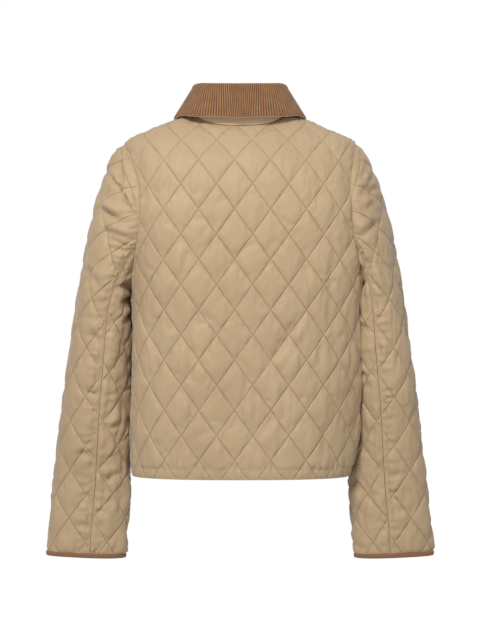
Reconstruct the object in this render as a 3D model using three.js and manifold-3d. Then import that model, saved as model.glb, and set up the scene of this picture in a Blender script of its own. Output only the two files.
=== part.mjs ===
// A short quilted jacket with a corduroy collar, hollow, in the shape it keeps when worn.
// Millimetres. +Z is up, the back faces -Y, the wearer's right is +X,
// and the origin is the middle of the neck base.
import * as THREE from 'three';
import { mergeVertices } from 'three/addons/utils/BufferGeometryUtils.js';
import Module from 'manifold-3d';

const wasm = await Module();
wasm.setup();

// Cloth: two layers of nylon with wadding between, stitched in diamonds.
const WALL = 2;
const PUFF = 3;
const SEAM_WALL = 1.5;
const SEAM_FADE = 20;
const SEAM_GAP = 0.6;
const FORM_INSET = 4;
const DIAMOND_WIDE = 54;
const DIAMOND_TALL = 75.5;
const LATTICE_SHIFT = -8;

// Body: half-widths and depths of its outside at each height.
// Above the armholes these are also the slopes of the shoulders.
const BODY = [
  { z: 24, left: 50, right: 50, back: 24, front: 24, power: 2.2 },
  { z: 8, left: 76, right: 76, back: 42, front: 33, power: 2.2 },
  { z: -3, left: 98, right: 98, back: 50, front: 39, power: 2.2 },
  { z: -15, left: 127, right: 127, back: 58, front: 45, power: 2.25 },
  { z: -27, left: 157, right: 157, back: 71, front: 51, power: 2.3 },
  { z: -36, left: 175, right: 175, back: 80, front: 56, power: 2.35 },
  { z: -43, left: 182, right: 182, back: 86, front: 59, power: 2.4 },
  { z: -50, left: 183, right: 186, back: 92, front: 63, power: 2.4 },
  { z: -74, left: 182, right: 190, back: 106, front: 73, power: 2.6 },
  { z: -109, left: 178, right: 193, back: 114, front: 86, power: 2.8 },
  { z: -147, left: 177, right: 196, back: 117, front: 95, power: 3 },
  { z: -190, left: 176, right: 196, back: 118, front: 105, power: 3 },
  { z: -230, left: 174, right: 195, back: 118, front: 112, power: 3 },
  { z: -268, left: 169, right: 193, back: 117, front: 112, power: 3 },
  { z: -300, left: 166, right: 191, back: 116, front: 110, power: 2.9 },
  { z: -360, left: 167, right: 191, back: 114, front: 110, power: 2.8 },
  { z: -437, left: 169, right: 189, back: 113, front: 110, power: 2.6 },
  { z: -499, left: 170, right: 184, back: 112, front: 110, power: 2.5 },
  { z: -553, left: 169, right: 171, back: 112, front: 110, power: 2.4 },
];
const NECK_SEAM_BACK = -15;
const HEM = -553;

// Neckline and armholes, as holes cut through the body from above and from the side.
const NECK = { halfWide: 75, halfDeep: 63.5, y: 7, power: 2.7 };
const ARMHOLE = { z: -154.5, halfTall: 113.5, halfDeep: 78 };

// Sleeve sections from the armpit to the wrist, by their outside.
const SLEEVE = [
  { z: -312, outer: 259, inner: 166, deep: 150, y: 12 },
  { z: -375, outer: 268, inner: 167, deep: 138, y: 13 },
  { z: -437, outer: 276.5, inner: 169.5, deep: 122, y: 15 },
  { z: -500, outer: 283.5, inner: 170, deep: 106, y: 16 },
  { z: -558, outer: 290.5, inner: 170, deep: 88, y: 18 },
  { z: -620, outer: 297.5, inner: 174, deep: 74, y: 20 },
  { z: -681, outer: 303, inner: 178, deep: 64, y: 22 },
];
const ARMPIT = -312;
const WRIST = -675;
const CUFF_END = -681;
const CUFF_TILT = 2;
const SLEEVE_POWER = 2.2;
const SLEEVE_CLEAR = 11;
const SLEEVE_CLEAR_WITHIN = 20;
const SLEEVE_LATTICE_SHIFT = -9;
const SLEEVE_LATTICE_DROP = -81;
const CAP = { topOut: 0.8, underOut: 0.76, start: 0.57, startLeast: 60, end: 0.9, spread: 0.75 };
const CAP_GAP = 3;
const CAP_SEAM_GAP = 2.6;
// Seams of the two-piece sleeve, as shares of half the sleeve's girth from its outer line.
const BACK_SEAM = 0.55;
const FRONT_SEAM = -0.72;

// Front opening: the right front laps over the left and closes with press studs.
const LAP = { over: 12, under: 10, rise: 2.7, fullTo: 38, noneFrom: 72 };
const PLACKET = { flatTo: 14, quiltedFrom: 26 };
const STUD = { radius: 7, tall: 3, rim: 1.2, heights: [-100, -207, -314, -421, -528] };

// Collar stations from the centre back (turn 0) to the centre front (turn 180).
// The fold is a height, the fall's edge is a place on the body in plan and its distance off it,
// and clear is how far the rest of the fall keeps off the body at least.
const COLLAR = [
  { turn: 0, fold: 41.3, edgeX: 0, edgeY: -61.5, off: 16.8, clear: 0 },
  { turn: 30, fold: 42, edgeX: 45, edgeY: -57, off: 15.6, clear: 0 },
  { turn: 60, fold: 44, edgeX: 80, edgeY: -38, off: 9.8, clear: 0 },
  { turn: 90, fold: 44.6, edgeX: 100, edgeY: 0, off: 4, clear: 4 },
  { turn: 120, fold: 20, edgeX: 96, edgeY: 42, off: 7.2, clear: 7.2 },
  { turn: 150, fold: -22, edgeX: 73, edgeY: 74, off: 10, clear: 10 },
  { turn: 176, fold: -56, edgeX: 44, edgeY: 85, off: 10.2, clear: 10.2 },
];
const COLLAR_RING = { halfWide: 68, halfDeep: 58, y: 4, power: 2.6 };
const COLLAR_END = 176;
const COLLAR_ROLL = 5;
const COLLAR_WALL = 1.5;
const COLLAR_HALF_GAP = 0.2;
const COLLAR_SEAT = { up: 1.9, off: 0.75 };
const BINDING = { wall: 4.6, inset: -0.4 };

const COLOURS = { cloth: 0xc5ad88, corduroy: 0xb0845c, stud: 0xa08a62 };
const cloth = new THREE.MeshStandardMaterial({ color: COLOURS.cloth, roughness: 0.55, metalness: 0 });
const corduroy = new THREE.MeshStandardMaterial({ color: COLOURS.corduroy, roughness: 0.95, metalness: 0 });
const metal = new THREE.MeshStandardMaterial({ color: COLOURS.stud, roughness: 0.35, metalness: 0.9 });

// A smooth curve through one column of a table, without overshoot between its rows.
function curveThrough(table, along, column) {
  const rows = [...table].sort((a, b) => a[along] - b[along]);
  const x = rows.map((row) => row[along]);
  const y = rows.map((row) => row[column]);
  const rise = x.slice(1).map((next, i) => (y[i + 1] - y[i]) / (next - x[i]));
  const slope = x.map((_, i) => {
    if (i === 0) return rise[0];
    if (i === rise.length) return rise[i - 1];
    return rise[i - 1] * rise[i] <= 0 ? 0 : 2 / (1 / rise[i - 1] + 1 / rise[i]);
  });
  return (at) => {
    if (at <= x[0]) return y[0];
    if (at >= x[x.length - 1]) return y[y.length - 1];
    const i = x.findIndex((next) => next > at) - 1;
    const step = x[i + 1] - x[i];
    const t = (at - x[i]) / step;
    const start = y[i] * (1 + 2 * t) * (1 - t) ** 2 + slope[i] * step * t * (1 - t) ** 2;
    const end = y[i + 1] * t * t * (3 - 2 * t) + slope[i + 1] * step * t * t * (t - 1);
    return start + end;
  };
}

function columnCurves(table, along) {
  const names = Object.keys(table[0]).filter((name) => name !== along);
  const curves = names.map((name) => curveThrough(table, along, name));
  return (at) => Object.fromEntries(names.map((name, i) => [name, curves[i](at)]));
}

function smoothStep(from, to, value) {
  return THREE.MathUtils.smoothstep(value, from, to);
}

// Value of ys at x, on straight lines between the ascending xs.
function lookUp(xs, ys, x) {
  if (x <= xs[0]) return ys[0];
  if (x >= xs[xs.length - 1]) return ys[ys.length - 1];
  let low = 0;
  let high = xs.length - 1;
  while (high - low > 1) {
    const middle = (low + high) >> 1;
    if (xs[middle] > x) high = middle;
    else low = middle;
  }
  return ys[low] + ((ys[high] - ys[low]) * (x - xs[low])) / (xs[high] - xs[low]);
}

// A quarter of a superellipse, walked from (0, deep) to (wide, 0), with its length so far.
const QUARTER_STEPS = 60;
function quarter(wide, deep, power) {
  const across = [];
  const back = [];
  const length = [];
  for (let i = 0; i <= QUARTER_STEPS; i += 1) {
    const turn = (i / QUARTER_STEPS) * (Math.PI / 2);
    across.push(wide * Math.sin(turn) ** (2 / power));
    back.push(deep * Math.max(0, Math.cos(turn)) ** (2 / power));
    const step = i === 0 ? 0 : Math.hypot(across[i] - across[i - 1], back[i] - back[i - 1]);
    length.push((length[i - 1] ?? 0) + step);
  }
  const whole = length[QUARTER_STEPS];
  return {
    whole,
    at: (along) => [
      lookUp(length, across, along),
      lookUp(length, back, along) - Math.max(0, along - whole),
    ],
    lengthTo: (x) => lookUp(across, length, x),
  };
}

function superX(wide, deep, power, y) {
  return wide * Math.max(0, 1 - (Math.abs(y) / deep) ** power) ** (1 / power);
}

// Body form: the inside of the cloth, by height and by length of cloth across.
const bodyColumns = columnCurves(BODY, 'z');

function bodySection(z, side, face, extra = 0) {
  const row = bodyColumns(z);
  const wide = (side < 0 ? row.left : row.right) - FORM_INSET + extra;
  const deep = (face < 0 ? row.back : row.front) - FORM_INSET + extra;
  return { wide, deep, power: row.power };
}

// Length of cloth down the centre back, zero at the neck seam and negative below it.
const HEIGHT_STEP = 1;
const heights = [];
const lengths = [];
for (let z = HEM - 10; z <= BODY[0].z; z += HEIGHT_STEP) {
  const before = heights.length - 1;
  const run = bodyColumns(z).back - bodyColumns(z - HEIGHT_STEP).back;
  lengths.push(before < 0 ? 0 : lengths[before] + Math.hypot(HEIGHT_STEP, run));
  heights.push(z);
}
const neckLength = lookUp(heights, lengths, NECK_SEAM_BACK);
const clothAt = (z) => lookUp(heights, lengths, z) - neckLength;
const heightAt = (q) => lookUp(lengths, heights, q + neckLength);

function bodyPoint(p, q, face) {
  const z = heightAt(q);
  const side = p < 0 ? -1 : 1;
  const section = bodySection(z, side, face);
  const [x, y] = quarter(section.wide, section.deep, section.power).at(Math.abs(p));
  return new THREE.Vector3(side * x, face * y, z);
}

function patternAt(x, z, side, face) {
  const section = bodySection(z, side, face);
  const across = quarter(section.wide, section.deep, section.power).lengthTo(Math.abs(x));
  return new THREE.Vector2(Math.sign(x) * across, clothAt(z));
}

// Height of the body's inside surface over a place in plan.
function bodyHeight(x, y) {
  const side = x < 0 ? -1 : 1;
  const face = y < 0 ? -1 : 1;
  let low = ARMHOLE.z;
  let high = BODY[0].z;
  for (let i = 0; i < 30; i += 1) {
    const middle = (low + high) / 2;
    const s = bodySection(middle, side, face);
    const reach = (Math.abs(x) / s.wide) ** s.power + (Math.abs(y) / s.deep) ** s.power;
    if (reach > 1) high = middle;
    else low = middle;
  }
  return low;
}

// How far a point lies outside the body's inside surface, and the way out from there.
const SLOPE_STEP = 0.5;
function bodyReach({ x, y, z }) {
  const s = bodySection(z, x, y);
  return (Math.abs(x) / s.wide) ** s.power + (Math.abs(y) / s.deep) ** s.power - 1;
}

function awayFromBody(point) {
  const slope = ['x', 'y', 'z'].map((axis) => {
    const ahead = point.clone();
    const behind = point.clone();
    ahead[axis] += SLOPE_STEP;
    behind[axis] -= SLOPE_STEP;
    return (bodyReach(ahead) - bodyReach(behind)) / (2 * SLOPE_STEP);
  });
  const out = new THREE.Vector3(...slope);
  const distance = bodyReach(point) / out.length();
  return { out: out.normalize(), distance };
}

const SETTLE_ROUNDS = 4;
function keptOff(point, least) {
  const kept = point.clone();
  for (let i = 0; i < SETTLE_ROUNDS; i += 1) {
    const { out, distance } = awayFromBody(kept);
    kept.addScaledVector(out, Math.max(0, least - distance));
  }
  return kept;
}

function neckY(x, face) {
  return NECK.y + face * superX(NECK.halfDeep, NECK.halfWide, NECK.power, x);
}

// A surface's outward normal by small steps; hand is -1 where the pattern is mirrored.
const NORMAL_STEP = 2;
function normalOf(surface, p, q, hand) {
  const across = surface(p + NORMAL_STEP, q).sub(surface(p - NORMAL_STEP, q));
  const up = surface(p, q + NORMAL_STEP).sub(surface(p, q - NORMAL_STEP));
  return across.cross(up).normalize().multiplyScalar(hand);
}

// Quilting: how full the wadding is between the two families of stitch lines.
function pillow(p, q, origin) {
  const s = (p - origin.x) / DIAMOND_WIDE + (q - origin.y) / DIAMOND_TALL;
  const t = (p - origin.x) / DIAMOND_WIDE - (q - origin.y) / DIAMOND_TALL;
  return Math.sqrt(Math.abs(Math.sin(Math.PI * s) * Math.sin(Math.PI * t)));
}

function distanceTo(outline, p, q) {
  let nearest = Infinity;
  outline.forEach((start, i) => {
    const end = outline[(i + 1) % outline.length];
    const dx = end.x - start.x;
    const dy = end.y - start.y;
    const along = ((p - start.x) * dx + (q - start.y) * dy) / (dx * dx + dy * dy);
    const t = Math.min(1, Math.max(0, along));
    nearest = Math.min(nearest, Math.hypot(p - start.x - t * dx, q - start.y - t * dy));
  });
  return nearest;
}

function toManifold(positions, triangles) {
  const mesh = new wasm.Mesh({
    numProp: 3,
    vertProperties: Float32Array.from(positions),
    triVerts: Uint32Array.from(triangles),
  });
  return new wasm.Manifold(mesh);
}

// A flat block of quilted cloth: fine diamonds on top, a coarse plain grid below.
// Grid steps are quarters of a diamond, so that stitch lines run along its edges.
const INSIDE_DIP = 0.12;
function quiltedBlock(outline, origin, rise) {
  const stepP = DIAMOND_WIDE / 4;
  const stepQ = DIAMOND_TALL / 4;
  const box = new THREE.Box2().setFromPoints(outline);
  const evenFloor = (value) => 2 * Math.floor(value / 2) - 2;
  const i0 = evenFloor((box.min.x - origin.x) / stepP);
  const j0 = evenFloor((box.min.y - origin.y) / stepQ);
  const columns = -evenFloor(-(box.max.x - origin.x) / stepP) - i0;
  const rows = -evenFloor(-(box.max.y - origin.y) / stepQ) - j0;
  const positions = [];
  const top = (i, j) => j * (columns + 1) + i;
  for (let j = 0; j <= rows; j += 1) {
    for (let i = 0; i <= columns; i += 1) {
      const p = origin.x + (i0 + i) * stepP;
      const q = origin.y + (j0 + j) * stepQ;
      positions.push(p, q, rise(p, q));
    }
  }
  const below = positions.length / 3;
  const bottom = (i, j) => below + (j / 2) * (columns / 2 + 1) + i / 2;
  for (let j = 0; j <= rows; j += 2) {
    for (let i = 0; i <= columns; i += 2) {
      const dip = ((i + j) / 2) % 2 === 0 ? 0 : -INSIDE_DIP;
      positions.push(origin.x + (i0 + i) * stepP, origin.y + (j0 + j) * stepQ, dip);
    }
  }
  const triangles = [];
  for (let j = 0; j < rows; j += 1) {
    for (let i = 0; i < columns; i += 1) {
      const [a, b, c, d] = [top(i, j), top(i + 1, j), top(i + 1, j + 1), top(i, j + 1)];
      const alongRise = (i + i0 - j - j0) % 2 === 0;
      triangles.push(...(alongRise ? [a, b, c, a, c, d] : [a, b, d, b, c, d]));
    }
  }
  for (let j = 0; j < rows; j += 2) {
    for (let i = 0; i < columns; i += 2) {
      const [a, b, c, d] = [bottom(i, j), bottom(i + 2, j), bottom(i + 2, j + 2), bottom(i, j + 2)];
      triangles.push(a, c, b, a, d, c);
    }
  }
  const rim = [];
  for (let i = 0; i < columns; i += 1) rim.push([i, 0]);
  for (let j = 0; j < rows; j += 1) rim.push([columns, j]);
  for (let i = columns; i > 0; i -= 1) rim.push([i, rows]);
  for (let j = rows; j > 0; j -= 1) rim.push([0, j]);
  for (let k = 0; k < rim.length; k += 2) {
    const [start, middle, end] = [rim[k], rim[k + 1], rim[(k + 2) % rim.length]];
    triangles.push(bottom(...start), bottom(...end), top(...middle));
    triangles.push(bottom(...start), top(...middle), top(...start));
    triangles.push(bottom(...end), top(...end), top(...middle));
  }
  return toManifold(positions, triangles);
}

function cutterFor(outline) {
  const reach = WALL + PUFF + 2;
  const extruded = new THREE.ExtrudeGeometry(new THREE.Shape(outline), {
    depth: 2 * reach,
    bevelEnabled: false,
  });
  extruded.translate(0, 0, -reach);
  extruded.deleteAttribute('normal');
  extruded.deleteAttribute('uv');
  const merged = mergeVertices(extruded);
  return toManifold(merged.attributes.position.array, merged.index.array);
}

function meshFrom(name, positions, triangles, material) {
  const geometry = new THREE.BufferGeometry();
  geometry.setAttribute('position', new THREE.Float32BufferAttribute(positions, 3));
  geometry.setIndex(Array.from(triangles));
  geometry.computeVertexNormals();
  const mesh = new THREE.Mesh(geometry, material);
  mesh.name = name;
  return mesh;
}

// Cuts a piece out of quilted cloth by its flat outline, then wraps it round its form.
// lift is how far the piece lies off the form, and quilted is how much of it is padded.
function quiltedPiece({ name, outline, origin, surface, hand, lift, quilted }) {
  const rise = (p, q) => {
    const fade = Math.min(1, distanceTo(outline, p, q) / SEAM_FADE);
    return WALL + PUFF * pillow(p, q, origin) * fade * quilted(p);
  };
  const flat = quiltedBlock(outline, origin, rise).intersect(cutterFor(outline)).getMesh();
  const positions = [];
  for (let v = 0; v < flat.vertProperties.length; v += 3) {
    const [p, q, raised] = flat.vertProperties.slice(v, v + 3);
    const inside = raised < SEAM_WALL / 2;
    const onSeam = distanceTo(outline, p, q) < 0.05;
    const outside = onSeam ? SEAM_WALL : raised;
    const off = lift(p) + (inside ? 0 : outside);
    const point = surface(p, q).addScaledVector(normalOf(surface, p, q, hand), off);
    positions.push(point.x, point.y, point.z);
  }
  const triangles = Array.from(flat.triVerts);
  if (hand < 0) {
    for (let t = 0; t < triangles.length; t += 3) {
      [triangles[t], triangles[t + 1]] = [triangles[t + 1], triangles[t]];
    }
  }
  return meshFrom(name, positions, triangles, cloth);
}

// Outlines of the body panels, in cloth coordinates.
function spread(from, to, steps) {
  return Array.from({ length: steps + 1 }, (_, i) => from + ((to - from) * i) / steps);
}

function neckPoints(xs, face) {
  return xs.map((x) => {
    const y = neckY(x, face);
    return patternAt(x, bodyHeight(x, y), x < 0 ? -1 : 1, y < 0 ? -1 : 1);
  });
}

function sideEdge(z, side, face) {
  const section = bodySection(z, side, face);
  const across = quarter(section.wide, section.deep, section.power).whole;
  return new THREE.Vector2(side * (across - SEAM_GAP / 2), clothAt(z));
}

const SHOULDER_STEPS = 10;
const ARMHOLE_STEPS = 18;
const SIDE_STEPS = 22;
function shoulderToHem(side, face) {
  const neckSide = bodyHeight(side * NECK.halfWide, face * 0.01);
  const top = ARMHOLE.z + ARMHOLE.halfTall;
  const bottom = ARMHOLE.z - ARMHOLE.halfTall;
  const shoulder = spread(neckSide, top, SHOULDER_STEPS).map((z) => sideEdge(z, side, face));
  const armhole = spread(0, Math.PI, ARMHOLE_STEPS).slice(1, -1).map((turn) => {
    const y = face * ARMHOLE.halfDeep * Math.sin(turn);
    const z = ARMHOLE.z + ARMHOLE.halfTall * Math.cos(turn);
    const { wide, deep, power } = bodySection(z, side, face);
    return patternAt(side * superX(wide, deep, power, y), z, side, face);
  });
  const seam = spread(bottom, HEM, SIDE_STEPS).map((z) => sideEdge(z, side, face));
  return [...shoulder, ...armhole, ...seam];
}

const NECK_STEPS = 8;
function neckXs(fromTurn, toTurn) {
  return spread(fromTurn, toTurn, NECK_STEPS).map((turn) => NECK.halfWide * Math.sin(turn));
}

const bodyOrigin = new THREE.Vector2(LATTICE_SHIFT, 0);
const noLift = () => 0;
const allQuilted = () => 1;

function backPanel() {
  const neck = neckPoints(neckXs(-Math.PI / 2, Math.PI / 2).slice(1, -1), -1);
  const outline = [...neck, ...shoulderToHem(1, -1), ...shoulderToHem(-1, -1).reverse()];
  return quiltedPiece({
    name: 'back',
    outline,
    origin: bodyOrigin,
    surface: (p, q) => bodyPoint(p, q, -1),
    hand: 1,
    lift: noLift,
    quilted: allQuilted,
  });
}

function frontLift(p) {
  return LAP.rise * (1 - smoothStep(LAP.fullTo, LAP.noneFrom, p));
}

function frontPanel(side) {
  const past = side > 0 ? LAP.over : LAP.under;
  const turns = neckXs(Math.PI / 2, 0).slice(1, -1);
  const neck = neckPoints([...turns.map((x) => side * x), -side * past], 1);
  const hemCorner = new THREE.Vector2(-side * past, clothAt(HEM));
  const outline = [hemCorner, ...neck.reverse(), ...shoulderToHem(side, 1)];
  return quiltedPiece({
    name: side > 0 ? 'front_right' : 'front_left',
    outline,
    origin: bodyOrigin,
    surface: (p, q) => bodyPoint(p, q, 1),
    hand: -1,
    lift: side > 0 ? frontLift : noLift,
    quilted: (p) => smoothStep(PLACKET.flatTo, PLACKET.quiltedFrom, side * p),
  });
}

// Sleeves: rings below the armpit, and above it rails that run up to the armhole.
const sleeveColumns = columnCurves(SLEEVE, 'z');

// The wrist rises a little towards the sleeve's outer line.
const cuffRise = (share) => CUFF_TILT * Math.cos(Math.PI * share);

function sleeveSection(z) {
  const row = sleeveColumns(z);
  const wide = (row.outer - row.inner) / 2 - FORM_INSET;
  const deep = row.deep / 2 - FORM_INSET;
  return { x: (row.outer + row.inner) / 2, y: row.y, arc: quarter(wide, deep, SLEEVE_POWER) };
}

const halfGirth = (z) => 2 * sleeveSection(z).arc.whole;

// A sleeve point is kept off the body, which it only touches where the sleeve hangs.
function clearOfBody(point, side, clear) {
  const face = point.y < 0 ? -1 : 1;
  const { wide, deep, power } = bodySection(point.z, side, face, clear);
  if (point.z > HEM - clear) point.x = Math.max(point.x, superX(wide, deep, power, point.y));
  return point;
}

function sleeveRing(z, share, side) {
  const section = sleeveSection(z);
  const around = share > 1 ? share - 2 : share;
  const along = (0.5 - Math.abs(around)) * 2 * section.arc.whole;
  const [across, deep] = section.arc.at(Math.abs(along));
  const face = around < 0 ? 1 : -1;
  const x = section.x + Math.sign(along) * across;
  return clearOfBody(new THREE.Vector3(x, section.y + face * deep, z), side, SLEEVE_CLEAR);
}

const RAIL_STEPS = 24;
function armholePoint(turn, inset, side, face) {
  const y = face * (ARMHOLE.halfDeep - inset) * Math.sin(turn);
  const z = ARMHOLE.z + (ARMHOLE.halfTall - inset) * Math.cos(turn);
  const { wide, deep, power } = bodySection(z, side, face);
  return new THREE.Vector3(superX(wide, deep, power, y), y, z);
}

// The sleeve starts inside the armhole by the mitre that the two walls need.
function sleeveRail(share, side) {
  const around = share > 1 ? share - 2 : share;
  const face = around < 0 ? 1 : -1;
  const turn = Math.PI * Math.abs(around) ** CAP.spread;
  const out = THREE.MathUtils.lerp(CAP.topOut, CAP.underOut, Math.abs(around));
  const leave = new THREE.Vector3(out, 0, -Math.sqrt(1 - out * out));
  const inward = armholePoint(turn, 1, side, face).sub(armholePoint(turn, 0, side, face));
  const mitre = SEAM_WALL * Math.tan(leave.angleTo(inward) / 2);
  const inset = (CAP_GAP + mitre) / inward.length();
  const start = armholePoint(turn, inset, side, face);
  const end = sleeveRing(ARMPIT, share, side);
  const reach = start.distanceTo(end);
  leave.multiplyScalar(Math.max(CAP.start * reach, CAP.startLeast));
  const arrive = sleeveRing(ARMPIT - 1, share, side).sub(end).normalize();
  arrive.multiplyScalar(CAP.end * reach);
  const points = spread(0, 1, RAIL_STEPS).map((t) => {
    const point = start.clone().multiplyScalar((1 + 2 * t) * (1 - t) ** 2);
    point.addScaledVector(leave, t * (1 - t) ** 2);
    point.addScaledVector(end, t * t * (3 - 2 * t));
    point.addScaledVector(arrive, t * t * (t - 1));
    const clear = SLEEVE_CLEAR * Math.min(1, point.distanceTo(start) / SLEEVE_CLEAR_WITHIN);
    return clearOfBody(point, side, clear);
  });
  const run = [0];
  for (let i = RAIL_STEPS; i > 0; i -= 1) {
    run.push(run[run.length - 1] + points[i].distanceTo(points[i - 1]));
  }
  return { points: points.reverse(), run, whole: run[RAIL_STEPS] };
}

function sleevePoint(p, q, middle, side) {
  if (q <= 0) {
    const z = ARMPIT + q;
    return sleeveRing(z, middle + p / halfGirth(z), side);
  }
  const rail = sleeveRail(middle + p / halfGirth(ARMPIT), side);
  const place = ['x', 'y', 'z'].map((axis) => lookUp(rail.run, rail.points.map((at) => at[axis]), q));
  return new THREE.Vector3(...place);
}

const CAP_EDGE_STEPS = 20;
const SLEEVE_SIDE_STEPS = 8;
const CAP_SIDE_STEPS = 6;
const WRIST_STEPS = 8;
function sleevePiece(name, side, fromShare, toShare, middle, latticeShift) {
  const edge = (share, z, inward) => {
    const gap = z > ARMPIT ? CAP_SEAM_GAP : SEAM_GAP;
    const p = (share - middle) * halfGirth(Math.min(z, ARMPIT)) + (inward * gap) / 2;
    return new THREE.Vector2(p, z - ARMPIT);
  };
  const cap = spread(fromShare, toShare, CAP_EDGE_STEPS).map((share, i) => {
    const inward = i === 0 ? 1 : i === CAP_EDGE_STEPS ? -1 : 0;
    return edge(share, ARMPIT + sleeveRail(share, side).whole, inward);
  });
  const seam = (share, inward) => {
    const top = ARMPIT + sleeveRail(share, side).whole;
    const above = spread(ARMPIT, top, CAP_SIDE_STEPS).slice(1, -1);
    const low = WRIST + cuffRise(share);
    return [...spread(low, ARMPIT, SLEEVE_SIDE_STEPS), ...above].map((z) => edge(share, z, inward));
  };
  const wrist = spread(toShare, fromShare, WRIST_STEPS).slice(1, -1)
    .map((share) => edge(share, WRIST + cuffRise(share), 0));
  const rising = seam(fromShare, 1);
  const falling = seam(toShare, -1).reverse();
  const mirror = (point) => {
    point.x *= side;
    return point;
  };
  return quiltedPiece({
    name: `${name}_${side > 0 ? 'right' : 'left'}`,
    outline: [...rising, ...cap, ...falling, ...wrist].reverse(),
    origin: new THREE.Vector2(latticeShift, SLEEVE_LATTICE_DROP),
    surface: (p, q) => mirror(sleevePoint(p, q, middle, side)),
    hand: -side,
    lift: noLift,
    quilted: allQuilted,
  });
}

// A closed wall over a grid of points: rows of [inner, outer] pairs; ring joins its ends.
function wallFrom(name, grid, ring, material) {
  const rows = grid.length;
  const columns = grid[0].length;
  const positions = [];
  grid.forEach((row) => row.forEach((pair) => pair.forEach((point) => positions.push(...point))));
  const at = (row, column, layer) => 2 * ((row % rows) * columns + column) + layer;
  const triangles = [];
  const quad = (a, b, c, d) => triangles.push(a, b, c, a, c, d);
  const lastRow = ring ? rows : rows - 1;
  for (let r = 0; r < lastRow; r += 1) {
    for (let c = 0; c < columns - 1; c += 1) {
      quad(at(r, c, 1), at(r, c + 1, 1), at(r + 1, c + 1, 1), at(r + 1, c, 1));
      quad(at(r, c, 0), at(r + 1, c, 0), at(r + 1, c + 1, 0), at(r, c + 1, 0));
    }
    const end = columns - 1;
    quad(at(r, 0, 0), at(r, 0, 1), at(r + 1, 0, 1), at(r + 1, 0, 0));
    quad(at(r, end, 0), at(r + 1, end, 0), at(r + 1, end, 1), at(r, end, 1));
  }
  for (let c = 0; !ring && c < columns - 1; c += 1) {
    const end = rows - 1;
    quad(at(0, c, 0), at(0, c + 1, 0), at(0, c + 1, 1), at(0, c, 1));
    quad(at(end, c, 0), at(end, c, 1), at(end, c + 1, 1), at(end, c + 1, 0));
  }
  return meshFrom(name, positions, triangles, material);
}

// Collar: a stand that rises from the neck seam, rolls over and falls outside.
const collarColumns = columnCurves(COLLAR, 'turn');
const STAND_STEPS = 2;
const ROLL_STEPS = 3;
const FALL_STEPS = 3;
function collarLine(turn) {
  const side = Math.sign(turn) || 1;
  const row = collarColumns(Math.abs(turn));
  const angle = THREE.MathUtils.degToRad(Math.abs(turn));
  const ring = (size) => [
    side * size.halfWide * Math.sin(angle) ** (2 / size.power),
    size.y - Math.sign(Math.cos(angle)) * size.halfDeep * Math.abs(Math.cos(angle)) ** (2 / size.power),
  ];
  const [neckX, neckYAt] = ring(NECK);
  const seam = new THREE.Vector3(neckX, neckYAt, bodyHeight(neckX, neckYAt));
  const seat = keptOff(seam, COLLAR_SEAT.off);
  seat.z += COLLAR_SEAT.up;
  const [foldX, foldY] = ring(COLLAR_RING);
  const out = new THREE.Vector3(side * Math.sin(angle), -Math.cos(angle), 0);
  const centre = new THREE.Vector3(foldX, foldY, row.fold);
  const edgeX = side * row.edgeX;
  const below = new THREE.Vector3(edgeX, row.edgeY, bodyHeight(edgeX, row.edgeY));
  const edge = keptOff(below, row.off);
  const innerSide = centre.clone().addScaledVector(out, -COLLAR_ROLL);
  const outerSide = centre.clone().addScaledVector(out, COLLAR_ROLL);
  const stand = spread(0, 1, STAND_STEPS).map((t) => seat.clone().lerp(innerSide, t));
  const roll = spread(0, Math.PI, ROLL_STEPS).slice(1, -1).map((t) => {
    const point = centre.clone().addScaledVector(out, -COLLAR_ROLL * Math.cos(t));
    point.z += COLLAR_ROLL * Math.sin(t);
    return point;
  });
  const fall = spread(0, 1, FALL_STEPS).slice(0, -1).map((t) => (
    keptOff(outerSide.clone().lerp(edge, t), row.clear)
  ));
  return [...stand, ...roll, ...fall, edge];
}

const COLLAR_STEPS = 28;
function collarPieces() {
  const lines = spread(-COLLAR_END, COLLAR_END, COLLAR_STEPS).map(collarLine);
  const normal = (r, c) => {
    const next = lines[Math.min(r + 1, lines.length - 1)][c];
    const around = next.clone().sub(lines[Math.max(r - 1, 0)][c]);
    const line = lines[r];
    const up = line[Math.min(c + 1, line.length - 1)].clone().sub(line[Math.max(c - 1, 0)]);
    return up.cross(around).normalize();
  };
  const layer = (near, far) => lines.map((line, r) => line.map((point, c) => [near, far].map((off) => (
    point.clone().addScaledVector(normal(r, c), off).toArray()
  ))));
  const reach = COLLAR_HALF_GAP + COLLAR_WALL;
  const top = wallFrom('collar_top', layer(COLLAR_HALF_GAP, reach), false, corduroy);
  const under = wallFrom('collar_under', layer(-reach, -COLLAR_HALF_GAP), false, cloth);
  return [top, under];
}

const BINDING_STEPS = 32;
function cuffBinding(side) {
  const surface = (share, z) => {
    const point = sleeveRing(z, share > 1 ? share - 2 : share, side);
    point.x *= side;
    return point;
  };
  const rows = spread(-1, 1, BINDING_STEPS).slice(0, -1).map((share) => {
    const across = surface(share + 0.02, WRIST).sub(surface(share - 0.02, WRIST));
    const out = new THREE.Vector3(across.y, -across.x, 0).normalize().multiplyScalar(-side);
    return [CUFF_END, WRIST - SEAM_GAP].map((z) => {
      const inner = surface(share, z + cuffRise(share)).addScaledVector(out, BINDING.inset);
      const outer = inner.clone().addScaledVector(out, BINDING.wall);
      return [inner.toArray(), outer.toArray()];
    });
  });
  const ordered = side > 0 ? rows : [...rows].reverse();
  return wallFrom(`cuff_binding_${side > 0 ? 'right' : 'left'}`, ordered, true, corduroy);
}

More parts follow.
